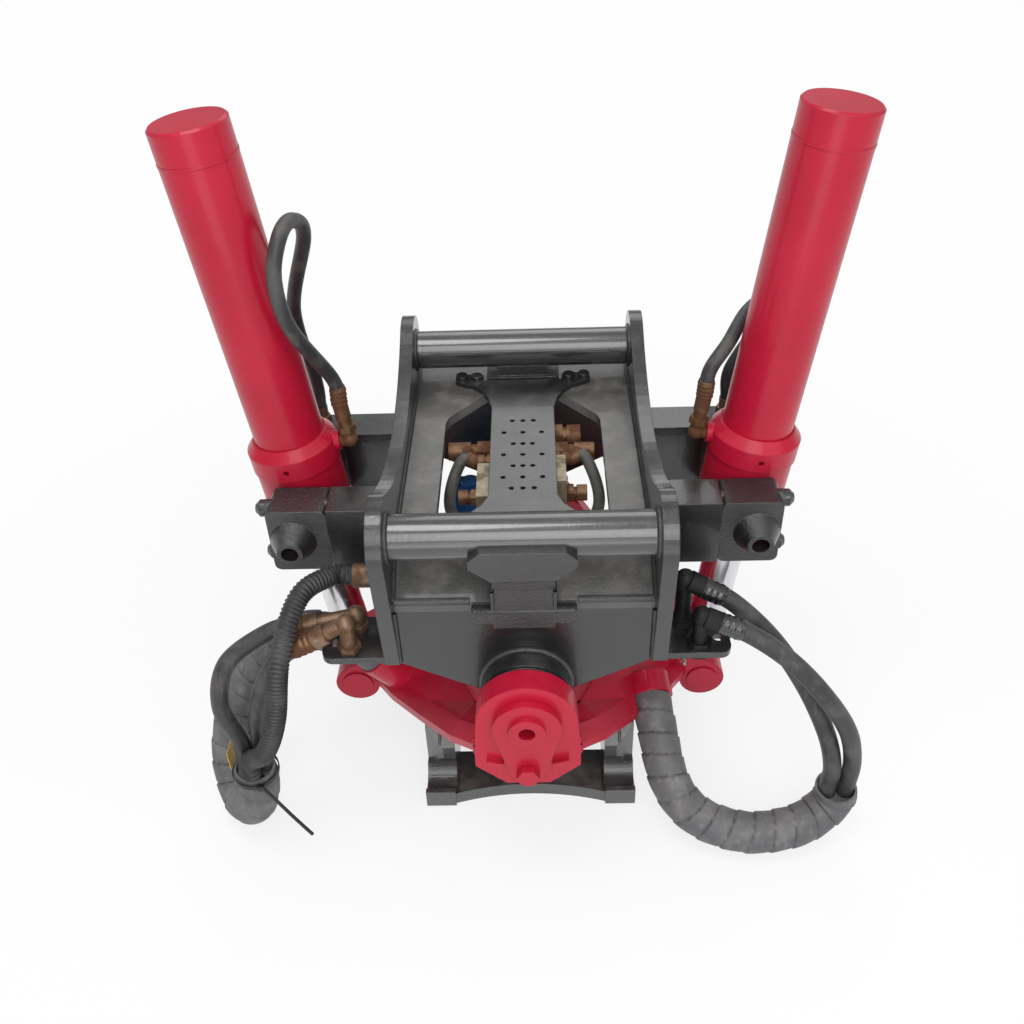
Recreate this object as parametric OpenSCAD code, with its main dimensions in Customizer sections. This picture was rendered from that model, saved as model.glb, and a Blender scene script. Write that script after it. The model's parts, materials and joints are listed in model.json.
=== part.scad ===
// Excavator tilt rotator: a hitch frame that tilts on a turning housing with a quick coupler below.
// The origin is on the floor under the turning axis, +X is right, +Y is to the rear, +Z is up.

/* [Hitch] */
// Diameter of the two hitch pins
pin_d = 60; // [56:1:64]
// Distance between the hitch pins, centre to centre
pin_spacing = 480; // [470:1:490]
// Clear width between the side plates
pin_span = 340; // [334:1:348]
// Height of the hitch pins above the deck
pin_rise = 47; // [40:1:54]
// Thickness of a side plate
plate_t = 20; // [16:1:22]
// Radius of a side plate round a hitch pin
lobe_r = 55; // [50:1:60]
// Depth of the side plate's dip below the middle of the hitch pins
dip_drop = 12; // [6:1:20]
// Height of the side plate's lower corners above the tilt axis
foot_rise = 42; // [39:1:47]
// Distance of the side plate's lower corners from the middle
foot_y = 268; // [266:1:278]
// Height of the arch above the side plate's lower corners
arch_rise = 42; // [24:1:47]
// Thickness of the deck plate
deck_t = 16; // [12:1:18]
// Height of the deck's top face above the tilt axis
deck_rise = 194; // [190:1:198]
// Half width of the deck window
window_x = 118; // [110:1:124]
// Distance of the deck window's front edge from the middle
window_front = 158; // [154:1:160]
// Distance of the deck window's rear edge from the middle
window_rear = 178; // [172:1:182]
// Thickness of the front and rear cross plates
cross_t = 20; // [16:1:22]
// Half width of a pin support's pad
pad_x = 68; // [60:1:72]
// Half width of a pin support's column
column_x = 40; // [34:1:44]

/* [Tilt] */
// Height of the tilt axis above the housing's flat top
tilt_rise = 80; // [78:1:82]
// Largest tilt to each side, in degrees
tilt_max = 40; // [30:1:40]
// Radius from the tilt axis to the cylinder trunnions and to the rod pins
link_r = 354; // [350:1:358]
// Half the angle between trunnion and rod pin, seen from the tilt axis
link_half = 30.4; // [29.9:0.1:30.9]
// Lean of the cylinders away from upright
lean = 6.5; // [5.5:0.1:7.5]
// Radius of the tilt pins
tilt_pin_r = 32; // [28:0.5:34]
// Wall of the tilt bushes
tilt_bush_t = 6; // [5:0.5:7]
// Outer radius of the bush tube in a cross plate
tube_r = 60; // [56:1:62]
// Distance of the lug's outer face from the middle
lug_y = 339; // [334:1:344]
// Thickness of a lug
lug_t = 34; // [28:1:36]
// Radius of a lug's round top
lug_r = 68; // [64:1:70]

/* [Cylinders] */
// Outside diameter of a tilt cylinder's barrel
barrel_d = 100; // [96:1:104]
// Bore of a tilt cylinder
bore_d = 80; // [76:1:82]
// Diameter of the piston rods
rod_d = 60; // [50:1:62]
// Distance from the trunnion to the top of the barrel
barrel_top = 548; // [540:1:600]
// Thickness of the barrel's end cap
cap_t = 45; // [35:1:50]
// Radius of the trunnion body
trunnion_body_r = 62; // [58:0.5:63]
// Radius of the collar above the trunnions
collar_r = 64.5; // [63:0.5:65]
// Radius of the trunnion pins
trunnion_r = 20; // [17:0.5:21]
// Wall of the trunnion bushes
trunnion_bush_t = 3.5; // [3:0.5:4]
// Clear half width between the two trunnion arms of one cylinder
arm_gap = 66; // [65.5:0.5:68]
// Thickness of a trunnion arm and block, front to back
arm_t = 58; // [52:1:62]
// Height of a trunnion arm and block
arm_h = 103; // [98:1:106]
// Radius of the rod pins
rod_pin_r = 20; // [17:0.5:22]
// Radius of the rod eyes
eye_r = 34; // [31:0.5:34]
// Half width of a rod eye
eye_y = 28; // [24:0.5:28]

/* [Housing] */
// Radius of the housing's drum
drum_r = 180; // [176:1:184]
// Height of the housing's flat top above the coupler
drum_h = 86; // [84:1:88]
// Radius of the tilt arms round the rod pins
arm_end_r = 36; // [35:0.5:37]
// Outer face of the tilt arms' cheeks, from the middle
cheek_y = 62; // [60:0.5:64]
// Gap between a rod eye and a cheek
eye_gap = 2; // [1:0.5:3]
// Height of the lip along the wings' lower edge
wing_lip = 14; // [10:1:14]
// Thickness of the wings at the drum
wing_t = 20; // [16:1:22]
// Module of the gears
gear_module = 4; // [3.9:0.05:4.1]

/* [Coupler] */
// Diameter of the attachment's pins
lower_pin_d = 45; // [44:0.5:46]
// Distance between the attachment's pins
lower_spacing = 430; // [426:1:434]
// Half width of the coupler over its claws
claw_x = 162; // [158:1:164]
// Thickness of a claw
claw_t = 46; // [42:1:48]
// Thickness of the lip under the front pin
lip_t = 27.5; // [26:0.5:29]
// Reach of the lips to the front
lip_reach = 244; // [242:1:250]
// Height of the coupler's top face
coupler_h = 140; // [138:1:142]
// Radius of the lock bolts
bolt_r = 12; // [10:0.5:12.5]
// Travel of the lock bolts
lock_travel = 40; // [36:1:42]

/* [Hoses] */
// Outside diameter of the front hoses
hose_d = 26; // [22:1:26]
// Outside diameter of the corrugated conduit
conduit_d = 30; // [26:1:30]
// Outside diameter of the wrapped hose bundles
bundle_d = 62; // [62:0.5:63]
// Outside diameter of the cylinder hoses
small_hose_d = 20; // [18:1:22]

/* [Hidden] */
$fn = 48;
run_gap = 0.3;
fit_gap = 0.1;
seat_gap = 0.3;
joint_gap = 0.05;
drum_top = coupler_h + drum_h;
tilt_height = drum_top + tilt_rise;
deck_height = tilt_height + deck_rise;
pin_height = deck_height + pin_rise;
dip_height = pin_height - dip_drop;
plate_foot = tilt_height + foot_rise;
arch_height = plate_foot + arch_rise;
pin_y = pin_spacing / 2;
plate_x = pin_span / 2;
plate_out = plate_x + plate_t;
trunnion_a = link_half - lean;
rod_pin_a = -link_half - lean;
trunnion_x = link_r * cos(trunnion_a);
trunnion_z = tilt_height + link_r * sin(trunnion_a);
rod_pin_x = link_r * cos(rod_pin_a);
rod_pin_z = tilt_height + link_r * sin(rod_pin_a);
open_len = 2 * link_r * sin(link_half + tilt_max / 2);
gland_low = -70;
gland_top = 18;
gland_flange_t = 8;
gland_r = 44;
body_low = gland_low + gland_flange_t;
body_top = 58;
collar_top = 103;
barrel_low = 20;
piston_t = 30;
rod_len = open_len + gland_top + piston_t + 5;
arm_out = trunnion_x - 51;
block_out = trunnion_x + 33;
arm_back = arm_gap + arm_t;
boss_len = 30;
boss_r = 33;
boss_tip_r = 18;
boss_hole_r = 12;
trunnion_end = arm_gap + arm_t - 8;
block_bolt_z = 38;
block_bolt_r = 8;
block_bolt_y = arm_gap + arm_t / 2;
block_bolt_in = 38;
block_boss_r = arm_h / 2 - block_bolt_z - 0.5;
bush_bore_r = trunnion_r + trunnion_bush_t;
cross_y = foot_y - 6;
apron_y = 185;
ledge_z = deck_height - 60;
cover_t = 8;
valve_z = deck_height - 75;
valve_x = 46;
valve_front = 100;
valve_rear = 130;
bracket_z = plate_foot - 3;
bracket_t = 10;
bracket_x = 88;
bracket_y0 = 180;
bracket_len = 82;
stem_r = 11;
flange_t = 12;
hub_r = 70;
shoulder_r = 80;
gear_teeth = 52;
pinion_teeth = 13;
gear_z = coupler_h + 32;
gear_h = 24;
drum_low = coupler_h + flange_t + 3;
slew_z = drum_low + 3;
cavity_top = gear_z + gear_h + 4;
gear_r = gear_module * gear_teeth / 2;
pinion_pitch_r = gear_module * pinion_teeth / 2;
drive_dist = gear_r + pinion_pitch_r;
drive_a = 128;
drive_pos = drive_dist * [cos(drive_a), sin(drive_a)];
retainer_r = 78;
cover_r = 86;
swivel_r = 34;
cover_top = drum_top + 26;
shaft_r = 12;
lower_pin_y = lower_spacing / 2;
lower_pin_z = lip_t + lower_pin_d / 2;
seat_r = lower_pin_d / 2 + seat_gap;
turn_r = rod_pin_x - arm_end_r - 6;
low_turn_z = rod_pin_z - arm_end_r - 12;
top_t = 22;
jaw_reach = lower_pin_y - 15;
claw_back = 190;
bolt_x = 45;
bolt_z = lower_pin_z - lower_pin_d / 2 - bolt_r - 0.2;
web_y = 85;
web_t = 20;
lock_z = 34;
rear_jaw_x = 80;
rear_jaw_y = 150;
hose_r = hose_d / 2;
bundle_r = bundle_d / 2;
small_r = small_hose_d / 2;
red = [0.77, 0.16, 0.22];
black = [0.17, 0.18, 0.19];
steel = [0.7, 0.71, 0.73];
rust = [0.45, 0.28, 0.16];
rubber = [0.2, 0.2, 0.2];
bronze = [0.7, 0.55, 0.3];

// Place of a point on the right tilt cylinder, given from the trunnion along its own axes
function on_barrel(p) = [trunnion_x + p[0] * cos(lean) + p[2] * sin(lean), p[1],
    trunnion_z - p[0] * sin(lean) + p[2] * cos(lean)];

// Ports of the tilt cylinders, with the height of the fitting's upper end
port_x = 71;
port_z = 80;
tip_x = port_x + 13;
tip_z = port_z + 60;

// Sockets of the hose bundles on the housing, from their roots to their mouths
socket_wall = 3;
notch_gap = 1.5;
right_socket = [[184, -126, 166], [188, -158, 154]];
left_socket = [[-202, -86, 150], [-240, -94, 196]];

// Point in front of a socket's mouth, on its axis
function beyond(socket, reach) = socket[1] + reach * unit(socket[1] - socket[0]);

// Ends of the fittings on the valve block that carry a hose
valve_tip_left = [-valve_x - 24, 32, valve_z + 45];
valve_tip_right = [valve_x + 24, 36, valve_z + 45];
nipple_x = 30;
nipple_z = cover_top + 40;

// Routes of the hoses, in millimetres
right_upper_route = [[239, -206, bracket_z + 79], [282, -215, bracket_z + 57], [337, -233, 350],
    [384, -257, 284], [421, -276, 206], [438.5, -282, 140], [438.5, -282, 92]];
right_lower_route = [[259, -250, bracket_z + 54], [300, -261, bracket_z + 41], [354, -279, 352],
    [404, -295, 298], [445, -292, 226], [465.5, -282, 150], [465.5, -282, 92]];
right_bundle_route = [[452, -282, 92], [452, -282, 68], [428, -293, 43], [386, -311, 36], [318, -318, 35],
    [250, -298, 48], [209, -266, 90], beyond(right_socket, 40), right_socket[1]];
left_outer_route = [[-306, -212, bracket_z + 27], [-352, -220, bracket_z + 23], [-415, -242, 330],
    [-433, -260, 262], [-416, -265.5, 196], [-416, -265.5, 150]];
left_inner_route = [[-286, -250, bracket_z + 35], [-330, -259, bracket_z + 15], [-366, -264, 302],
    [-384, -265, 244], [-388, -265.5, 192], [-388, -265.5, 150]];
left_conduit_route = [[-236, -170, 424], [-266, -170, 424], [-304, -214, 426], [-326, -284, 380],
    [-343, -306, 286], [-368, -308, 220], [-402, -290.5, 178], [-402, -290.5, 150]];
left_bundle_route = [[-402, -275, 150], [-402, -275, 112], [-418, -274, 60], [-448, -244, 44],
    [-465, -196, 92], [-444, -158, 172], [-396, -130, 240], [-335, -112, 266], beyond(left_socket, 50),
    left_socket[1]];
barrel_low_route = [on_barrel([-tip_x, 0, tip_z]), on_barrel([-tip_x, 0, tip_z + 40])];
block_top = trunnion_z + arm_h / 2;
barrel_end_route = [[310, 108, block_top + 72], [310, 108, block_top + 26]];
barrel_left_route = concat([for (p = barrel_low_route) [-p[0], p[1], p[2]]],
    [[-295, -45, 740], [-303, -50, 811], [-292, -30, 859], [-283, 10, 863], [-279, 45, 827], [-321, 95, 696]],
    [for (p = barrel_end_route) [-p[0], p[1], p[2]]]);
barrel_right_route = concat(barrel_low_route,
    [[285, 18, 668], [313, 60, 690], [338, 94, 688], [340, 112, 636]], barrel_end_route);
valve_left_route = [valve_tip_left, valve_tip_left - [24, 0, 0], [-112, -2, 408], [-64, -32, 346],
    [-nipple_x, 0, nipple_z + 26], [-nipple_x, 0, nipple_z]];
valve_right_route = [valve_tip_right, valve_tip_right + [24, 0, 0], [112, -2, 408], [64, -32, 346],
    [nipple_x, 0, nipple_z + 26], [nipple_x, 0, nipple_z]];

function unit(v) = v / norm(v);

// Points on an arc, from one angle to another
function arc(c, r, a0, a1, n) = [for (i = [0:n]) let (a = a0 + (a1 - a0) * i / n) c + r * [cos(a), sin(a)]];

// Corner points of an outline's reflection in its second axis, in reverse order
function flipped(p) = [for (i = [len(p) - 1:-1:0]) [-p[i][0], p[i][1]]];

// An outline in Y and Z, drawn out along X
module along_x(x0, t) translate([x0, 0, 0]) rotate([90, 0, 90]) linear_extrude(t) children();

// An outline in X and Z, drawn out along Y
module along_y(y0, t) translate([0, y0 + t, 0]) rotate([90, 0, 0]) linear_extrude(t) children();

module bar_x(x0, x1, r, y, z) translate([x0, y, z]) rotate([0, 90, 0]) cylinder(h = x1 - x0, r = r);

module bar_y(y0, y1, r, x, z) translate([x, y0, z]) rotate([-90, 0, 0]) cylinder(h = y1 - y0, r = r);

module bar_z(z0, z1, r, x, y) translate([x, y, z0]) cylinder(h = z1 - z0, r = r);

// A round bar from one point to another
module rod(a, b, r) translate(a)
    rotate([0, acos((b - a)[2] / norm(b - a)), atan2((b - a)[1], (b - a)[0])])
        cylinder(h = norm(b - a), r = r);

module box(lo, hi) translate(lo) cube(hi - lo);

module mirrored(axis) {
    children();
    mirror(axis) children();
}

module left_side() mirror([1, 0, 0]) children();

// A rectangle with round corners, centred on the origin
module round_rect(x, y, r) polygon(concat(arc([x - r, y - r], r, 0, 90, 8),
    arc([r - x, y - r], r, 90, 180, 8), arc([r - x, r - y], r, 180, 270, 8),
    arc([x - r, r - y], r, 270, 360, 8)));

// A closed skin over a row of sections with equally many points
module loft(sections) {
    n = len(sections[0]);
    last = len(sections) - 1;
    points = [for (s = sections) for (p = s) p];
    sides = [for (i = [0:last - 1]) for (j = [0:n - 1])
        each [[i * n + j, i * n + (j + 1) % n, (i + 1) * n + j],
            [i * n + (j + 1) % n, (i + 1) * n + (j + 1) % n, (i + 1) * n + j]]];
    ends = [[for (j = [n - 1:-1:0]) j], [for (j = [0:n - 1]) last * n + j]];
    polyhedron(points, concat(sides, ends));
}

// Direction of a route at each of its points
function headings(p) = [for (i = [0:len(p) - 1]) unit(p[min(i + 1, len(p) - 1)] - p[max(i - 1, 0)])];

// A cross direction that is carried along a route without twist
function carried(t, i) = i == 0 ? unit(cross(t[0], [0.31, 0.83, 0.46]))
    : let (u = carried(t, i - 1)) unit(u - (u * t[i]) * t[i]);

// Point just short of a hose's end, seen from the fitting's side
function short_of(from, tip) = tip - joint_gap * unit(tip - from);

// A hose along a route, as a skin over one ring at each point
module hose(route, r, sides = 10) {
    t = headings(route);
    loft([for (i = [0:len(route) - 1]) let (u = carried(t, i), v = cross(t[i], u))
        [for (j = [0:sides - 1]) route[i] + r * (cos(360 * j / sides) * u - sin(360 * j / sides) * v)]]);
}

// Teeth of a spur gear with straight flanks
function gear_outline(teeth) = let (pitch = 360 / teeth, r = gear_module * teeth / 2,
        root = r - 1.15 * gear_module, tip = r + 0.8 * gear_module)
    [for (i = [0:teeth - 1]) for (s = [[-0.36, root], [-0.13, tip], [0.13, tip], [0.36, root]])
        s[1] * [cos(pitch * (i + s[0])), sin(pitch * (i + s[0]))]];

// Y and Z outline of one claw, with the seat for the front pin
module claw_outline() {
    jaw_bevel = 25;
    heel = 8;
    difference() {
        polygon([[-lip_reach + heel, 0], [claw_back, 0], [claw_back, coupler_h - top_t],
            [-jaw_reach + jaw_bevel, coupler_h - top_t], [-jaw_reach, coupler_h - top_t - jaw_bevel],
            [-jaw_reach, lower_pin_z - 10], [-lip_reach, lower_pin_z - 10], [-lip_reach, heel]]);
        translate([-lower_pin_y, lower_pin_z]) circle(seat_r);
    }
}

// Floor of the coupler between the lips, with its arched front edge
module lip_floor() {
    front_r = 420;
    front_y = 217;
    difference() {
        box([-claw_x + claw_t, -lip_reach + 8, 0], [claw_x - claw_t, -150, lip_t - 4]);
        bar_z(-1, lip_t, front_r, 0, -front_y - front_r);
    }
}

module coupler_frame() color(black) {
    rear_reach = sqrt(turn_r * turn_r - rear_jaw_x * rear_jaw_x);
    difference() {
        intersection() {
            union() {
                mirrored([1, 0, 0]) along_x(claw_x - claw_t, claw_t) claw_outline();
                bar_z(coupler_h - top_t, coupler_h, 172, 0, 0);
                lip_floor();
                for (y = [-web_y - web_t, rear_jaw_y])
                    box([-claw_x + claw_t, y, 0], [claw_x - claw_t, y + web_t, coupler_h - top_t]);
                box([-rear_jaw_x, rear_jaw_y, 0], [rear_jaw_x, rear_reach, coupler_h - top_t]);
            }
            union() {
                bar_z(0, coupler_h, turn_r, 0, 0);
                bar_z(0, low_turn_z, lip_reach + 100, 0, 0);
            }
        }
        bar_x(-claw_x, claw_x, seat_r, lower_pin_y, lower_pin_z);
        box([-claw_x, lower_pin_y - seat_r, -1], [claw_x, rear_reach + 20, lower_pin_z]);
        for (x = [-bolt_x, bolt_x]) bar_y(rear_jaw_y - 1, lower_pin_y, bolt_r + run_gap, x, bolt_z);
        bar_z(coupler_h - top_t - 1, coupler_h + 1, swivel_r + 2, 0, 0);
        flange_bolt_spots() bar_z(coupler_h - top_t - 1, coupler_h + 1, 6 + fit_gap, 0, 0);
    }
}

module flange_bolt_spots() for (a = [70, 90, 110, 250, 270, 290])
    rotate(a) translate([125, 0, 0]) children();

module flange_bolts() color(steel) flange_bolt_spots() {
    bar_z(coupler_h - top_t, coupler_h + flange_t - 3, 6, 0, 0);
    bar_z(coupler_h - top_t - 8, coupler_h - top_t, 10, 0, 0);
}

// Flange and hub that carry the gear and turn in the housing
module rotor_flange() color(steel) difference() {
    union() {
        bar_z(coupler_h, coupler_h + flange_t, 150, 0, 0);
        bar_z(coupler_h, gear_z, shoulder_r, 0, 0);
        bar_z(coupler_h, drum_top + run_gap, hub_r, 0, 0);
    }
    bar_z(coupler_h - 1, drum_top + 2, swivel_r + 0.5, 0, 0);
    flange_bolt_spots() bar_z(coupler_h - 1, coupler_h + flange_t - 3, 6 + fit_gap, 0, 0);
}

module ring_gear() color(steel) translate([0, 0, gear_z]) difference() {
    linear_extrude(gear_h) rotate(drive_a) polygon(gear_outline(gear_teeth));
    bar_z(-1, gear_h + 1, hub_r + fit_gap, 0, 0);
}

module rotor_retainer() color(steel) difference() {
    bar_z(drum_top + run_gap, drum_top + 10, retainer_r, 0, 0);
    bar_z(drum_top - 1, drum_top + 11, swivel_r + 0.5, 0, 0);
}

module lock_cylinder() color(black) difference() {
    union() {
        bar_y(-web_y, 60, 24, 0, lock_z);
        bar_y(44, 60, 27, 0, lock_z);
        bar_z(lock_z, coupler_h - top_t, 13, 0, -56);
    }
    bar_y(-web_y + 20, 61, 11 + run_gap, 0, lock_z);
}

// Yoke with the two lock bolts and the lock cylinder's rod
module lock_slide() color(steel) {
    yoke_y = 104;
    box([-62, yoke_y, 3], [62, yoke_y + 16, lock_z + 16]);
    for (x = [-bolt_x, bolt_x]) bar_y(yoke_y + 8, 228, bolt_r, x, bolt_z);
    bar_y(-web_y + 24 + lock_travel, yoke_y + 2, 11, 0, lock_z);
}

// X and Z outline of a lug: a round top, straight flanks and a cut-off foot
module lug_outline() {
    flank = lug_r + 4;
    side = [[30, tilt_height - 121], [flank, tilt_height - 84], [flank, tilt_height - 55]];
    polygon(concat(arc([0, tilt_height], lug_r, 0, 180, 24), flipped(side), side));
}

// X and Z outline of a tilt arm's cheek, which hangs down round the rod pin
module cheek_outline() {
    low = coupler_h + 12;
    inner = rod_pin_x - arm_end_r;
    heel = 28;
    polygon(concat([[140, low], [inner, rod_pin_z + heel]],
        arc([rod_pin_x, rod_pin_z], arm_end_r, 180, 416, 20),
        [[140, drum_top - 6]]));
}

// Width and rise of the wing's lower face, beside its outer ridge
wing_face = [22, 16];

// Section of a wing: a lip along the outer ridge and a face that rises to the crest at the drum
function wing_section(ridge, crest, foot) = let (in = unit([crest[0] - ridge[0], crest[1] - ridge[1], 0]),
        drop = [0, 0, wing_lip], rise = [0, 0, wing_face[1]])
    [ridge - drop, ridge, ridge + wing_face[0] * in + rise, crest, crest - [0, 0, wing_t],
        ridge + foot * in - drop];

// Wing between lug and tilt arm: it clears the tilted frame above and the turning coupler below
module wing() loft([
    wing_section([56, -330, tilt_height - 60], [40, -308, tilt_height - 66], 12),
    wing_section([113, -265, drum_top - 26], [76, -225, drum_top - 2], 24),
    wing_section([164, -195, drum_top - 62], [112, -150, drum_top - 4], 24),
    wing_section([217, -124, drum_top - 92], [150, -90, drum_top - 10], 8),
    wing_section([250, -74, drum_top - 104], [182, -62, drum_top - 28], 4),
    wing_section([262, -50, drum_top - 108], [200, -46, drum_top - 46], 4)]);

// Small wedges beside the flag bolt that keep the flag plate from turning
module stop_wedges() mirrored([1, 0, 0]) along_y(-lug_y - 8, 9) polygon([[33, tilt_height - 72],
    [56, tilt_height - 66], [52, tilt_height - 76], [36, tilt_height - 84]]);

// Greaser boss on the front of a tilt arm
module grease_boss() bar_y(-cheek_y - 14, -cheek_y + 1, 9, 248, 152);

// Inner lug that holds the tilt pin's inner end
module inner_lug() along_y(-222, 24) polygon(concat(arc([0, tilt_height], 48, 0, 180, 16),
    [[-64, drum_top - 10], [64, drum_top - 10]]));

module housing_body() {
    bar_z(drum_low, drum_top - 14, drum_r, 0, 0);
    translate([0, 0, drum_top - 14]) cylinder(h = 14, r1 = drum_r, r2 = drum_r - 22);
    mirrored([0, 1, 0]) {
        along_y(-lug_y, lug_t) lug_outline();
        box([-42, -lug_y + 4, tilt_height - 118], [42, -120, drum_top]);
        stop_wedges();
        inner_lug();
        mirrored([1, 0, 0]) wing();
        mirrored([1, 0, 0]) along_y(-cheek_y, cheek_y - eye_y - eye_gap) cheek_outline();
        mirrored([1, 0, 0]) grease_boss();
    }
    mirrored([1, 0, 0]) box([130, -cheek_y, coupler_h + 12], [214, cheek_y, coupler_h + 40]);
    for (s = [right_socket, left_socket]) rod(s[0], short_of(s[0], s[1]), bundle_r + socket_wall);
}

module rotor_housing() color(red) difference() {
    housing_body();
    rod(right_socket[1], beyond(right_socket, 70), bundle_r + notch_gap);
    bar_z(coupler_h, slew_z, 151, 0, 0);
    bar_z(slew_z - 1, cavity_top, gear_r + gear_module + 4, 0, 0);
    bar_z(slew_z - 1, drum_top + 1, hub_r + run_gap, 0, 0);
    bar_z(slew_z - 1, cavity_top, pinion_pitch_r + gear_module + 3, drive_pos[0], drive_pos[1]);
    bar_z(slew_z, drum_top + 1, shaft_r + run_gap, drive_pos[0], drive_pos[1]);
    for (s = [-1, 1]) bar_y(s * 270 - 80, s * 270 + 80, tilt_pin_r + fit_gap, 0, tilt_height);
    for (s = [-1, 1]) bar_y(s * (lug_y - 14) - 30, s * (lug_y - 14) + 30, 8 + fit_gap, 0, flag_bolt_z);
    for (s = [-1, 1]) bar_y(-cheek_y - 1, cheek_y + 1, rod_pin_r + fit_gap, s * rod_pin_x, rod_pin_z);
}

flag_bolt_z = tilt_height - 84;

module slew_ring() color(bronze) difference() {
    bar_z(coupler_h + flange_t + run_gap, slew_z, 148, 0, 0);
    bar_z(coupler_h + flange_t - 1, slew_z + 1, gear_r + gear_module + 6, 0, 0);
}

module swivel_cover() color(red) difference() {
    union() {
        bar_z(drum_top, cover_top - 8, cover_r, 0, 0);
        translate([0, 0, cover_top - 8]) cylinder(h = 8, r1 = cover_r, r2 = cover_r - 8);
    }
    bar_z(drum_top - 1, drum_top + 14, retainer_r + 2, 0, 0);
    bar_z(drum_top, cover_top + 1, swivel_r + fit_gap, 0, 0);
}

module oil_swivel() color(black) {
    bar_z(coupler_h - top_t + 2, cover_top + 10, swivel_r, 0, 0);
    bar_z(cover_top, cover_top + 12, 52, 0, 0);
    for (x = [-nipple_x, nipple_x]) bar_z(cover_top + 8, nipple_z - joint_gap, small_r + 2, x, 0);
}

// Gear motor that stands on the housing, with its valve block on top
module drive_motor() color([0.12, 0.42, 0.75]) translate(concat(drive_pos, [drum_top])) difference() {
    union() {
        bar_z(0, 14, 44, 0, 0);
        bar_z(0, 66, 34, 0, 0);
        box([-40, -40, 60], [40, 82, 108]);
        bar_z(100, 120, 15, -12, 54);
        bar_z(100, 114, 12, 14, 4);
    }
    bar_z(-1, 10, shaft_r + run_gap, 0, 0);
}

module drive_pinion() color(steel) translate(concat(drive_pos, [0])) {
    translate([0, 0, gear_z]) linear_extrude(gear_h) rotate(drive_a + 180 + 180 / pinion_teeth)
        polygon(gear_outline(pinion_teeth));
    bar_z(gear_z, drum_top + 9, shaft_r, 0, 0);
}

// Teardrop plate on a tilt pin's outer end, kept from turning by a bolt
module flag_outline() {
    big = 46;
    small = 24;
    drop = tilt_height - flag_bolt_z;
    a = asin((big - small) / drop);
    polygon(concat(arc([0, tilt_height], big, -a, 180 + a, 24),
        arc([0, flag_bolt_z], small, 180 + a, 360 - a, 12)));
}

module tilt_pin() color(red) difference() {
    union() {
        bar_y(-lug_y, -202, tilt_pin_r, 0, tilt_height);
        along_y(-lug_y - 12, 12) flag_outline();
        bar_y(-lug_y - 18, -lug_y, 25, 0, tilt_height);
    }
    bar_y(-lug_y - 19, -lug_y + 20, 11, 0, tilt_height);
    bar_y(-lug_y - 13, -lug_y + 1, 8 + fit_gap, 0, flag_bolt_z);
}

module tilt_pin_front() tilt_pin();

module tilt_pin_rear() mirror([0, 1, 0]) tilt_pin();

module tilt_pin_bolts() color(red) mirrored([0, 1, 0]) {
    bar_y(-lug_y - 12, -lug_y + 16, 8, 0, flag_bolt_z);
    bar_y(-lug_y - 24, -lug_y - 12, 16, 0, flag_bolt_z, $fn = 6);
}

module arm_pin_right() color(red) {
    bar_y(-cheek_y, cheek_y, rod_pin_r, rod_pin_x, rod_pin_z);
    for (s = [-1, 1]) bar_y(s * (cheek_y + 1.5) - 1.5, s * (cheek_y + 1.5) + 1.5, 25, rod_pin_x, rod_pin_z);
}

module arm_pin_left() left_side() arm_pin_right();

// Y and Z outline of a side plate: two round lobes, a wide dip between them and an arch below
module plate_outline() {
    rise = pin_height - dip_height;
    dip_r = (pin_y * pin_y + rise * rise - lobe_r * lobe_r) / (2 * (lobe_r + rise));
    meet = atan2(dip_r - rise, pin_y);
    half = concat([[150, arch_height], [190, plate_foot], [foot_y, plate_foot]],
        arc([pin_y, pin_height], lobe_r, -10, 180 - meet, 20),
        arc([0, dip_height + dip_r], dip_r, -meet, -90, 10));
    polygon(concat(half, flipped([for (i = [0:len(half) - 2]) half[i]])));
}

module trunnion_arm() difference() {
    box([plate_out - 1, -arm_back, trunnion_z - arm_h / 2], [arm_out, -arm_gap, trunnion_z + arm_h / 2]);
    for (s = [-1, 1]) bar_x(arm_out - block_bolt_in, arm_out + 1, block_bolt_r + fit_gap, -block_bolt_y,
        trunnion_z + s * block_bolt_z);
}

module side_plate_right() color(black) difference() {
    union() {
        along_x(plate_x, plate_t) plate_outline();
        mirrored([0, 1, 0]) trunnion_arm();
    }
    for (s = [-1, 1]) bar_x(plate_x - 1, plate_out + 1, pin_d / 2 + fit_gap, s * pin_y, pin_height);
}

module side_plate_left() left_side() side_plate_right();

module hitch_pin(y) color(black) bar_x(-plate_out - 2, plate_out + 2, pin_d / 2, y, pin_height);

module front_hitch_pin() hitch_pin(-pin_y);

module rear_hitch_pin() hitch_pin(pin_y);

// Right edge of the deck window, from front to rear
window_edge = concat(arc([window_x - 30, 30 - window_front], 30, -90, 0, 8),
    [[window_x, 94], [window_x - 4, 108], [window_x - 12, 119], [56, window_rear]]);

// Bolts of the valve cover, on the right side
cover_spots = [[98, 212], [74, 210], [92, -171]];

// Deck with a sloping apron at the front and a window for the valve block
module deck_plate() color(black) difference() {
    along_x(-plate_x, 2 * plate_x) polygon([[cross_y, deck_height], [cross_y, deck_height - deck_t],
        [4 - apron_y, deck_height - deck_t], [cross_t - cross_y, ledge_z], [-cross_y, ledge_z],
        [-cross_y, ledge_z + deck_t], [-apron_y, deck_height]]);
    translate([0, 0, deck_height - 40]) linear_extrude(60) polygon(concat(window_edge, flipped(window_edge)));
    mirrored([1, 0, 0]) for (p = cover_spots)
        bar_z(deck_height - 30, deck_height + 1, 5 + fit_gap, p[0], p[1]);
}

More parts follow.
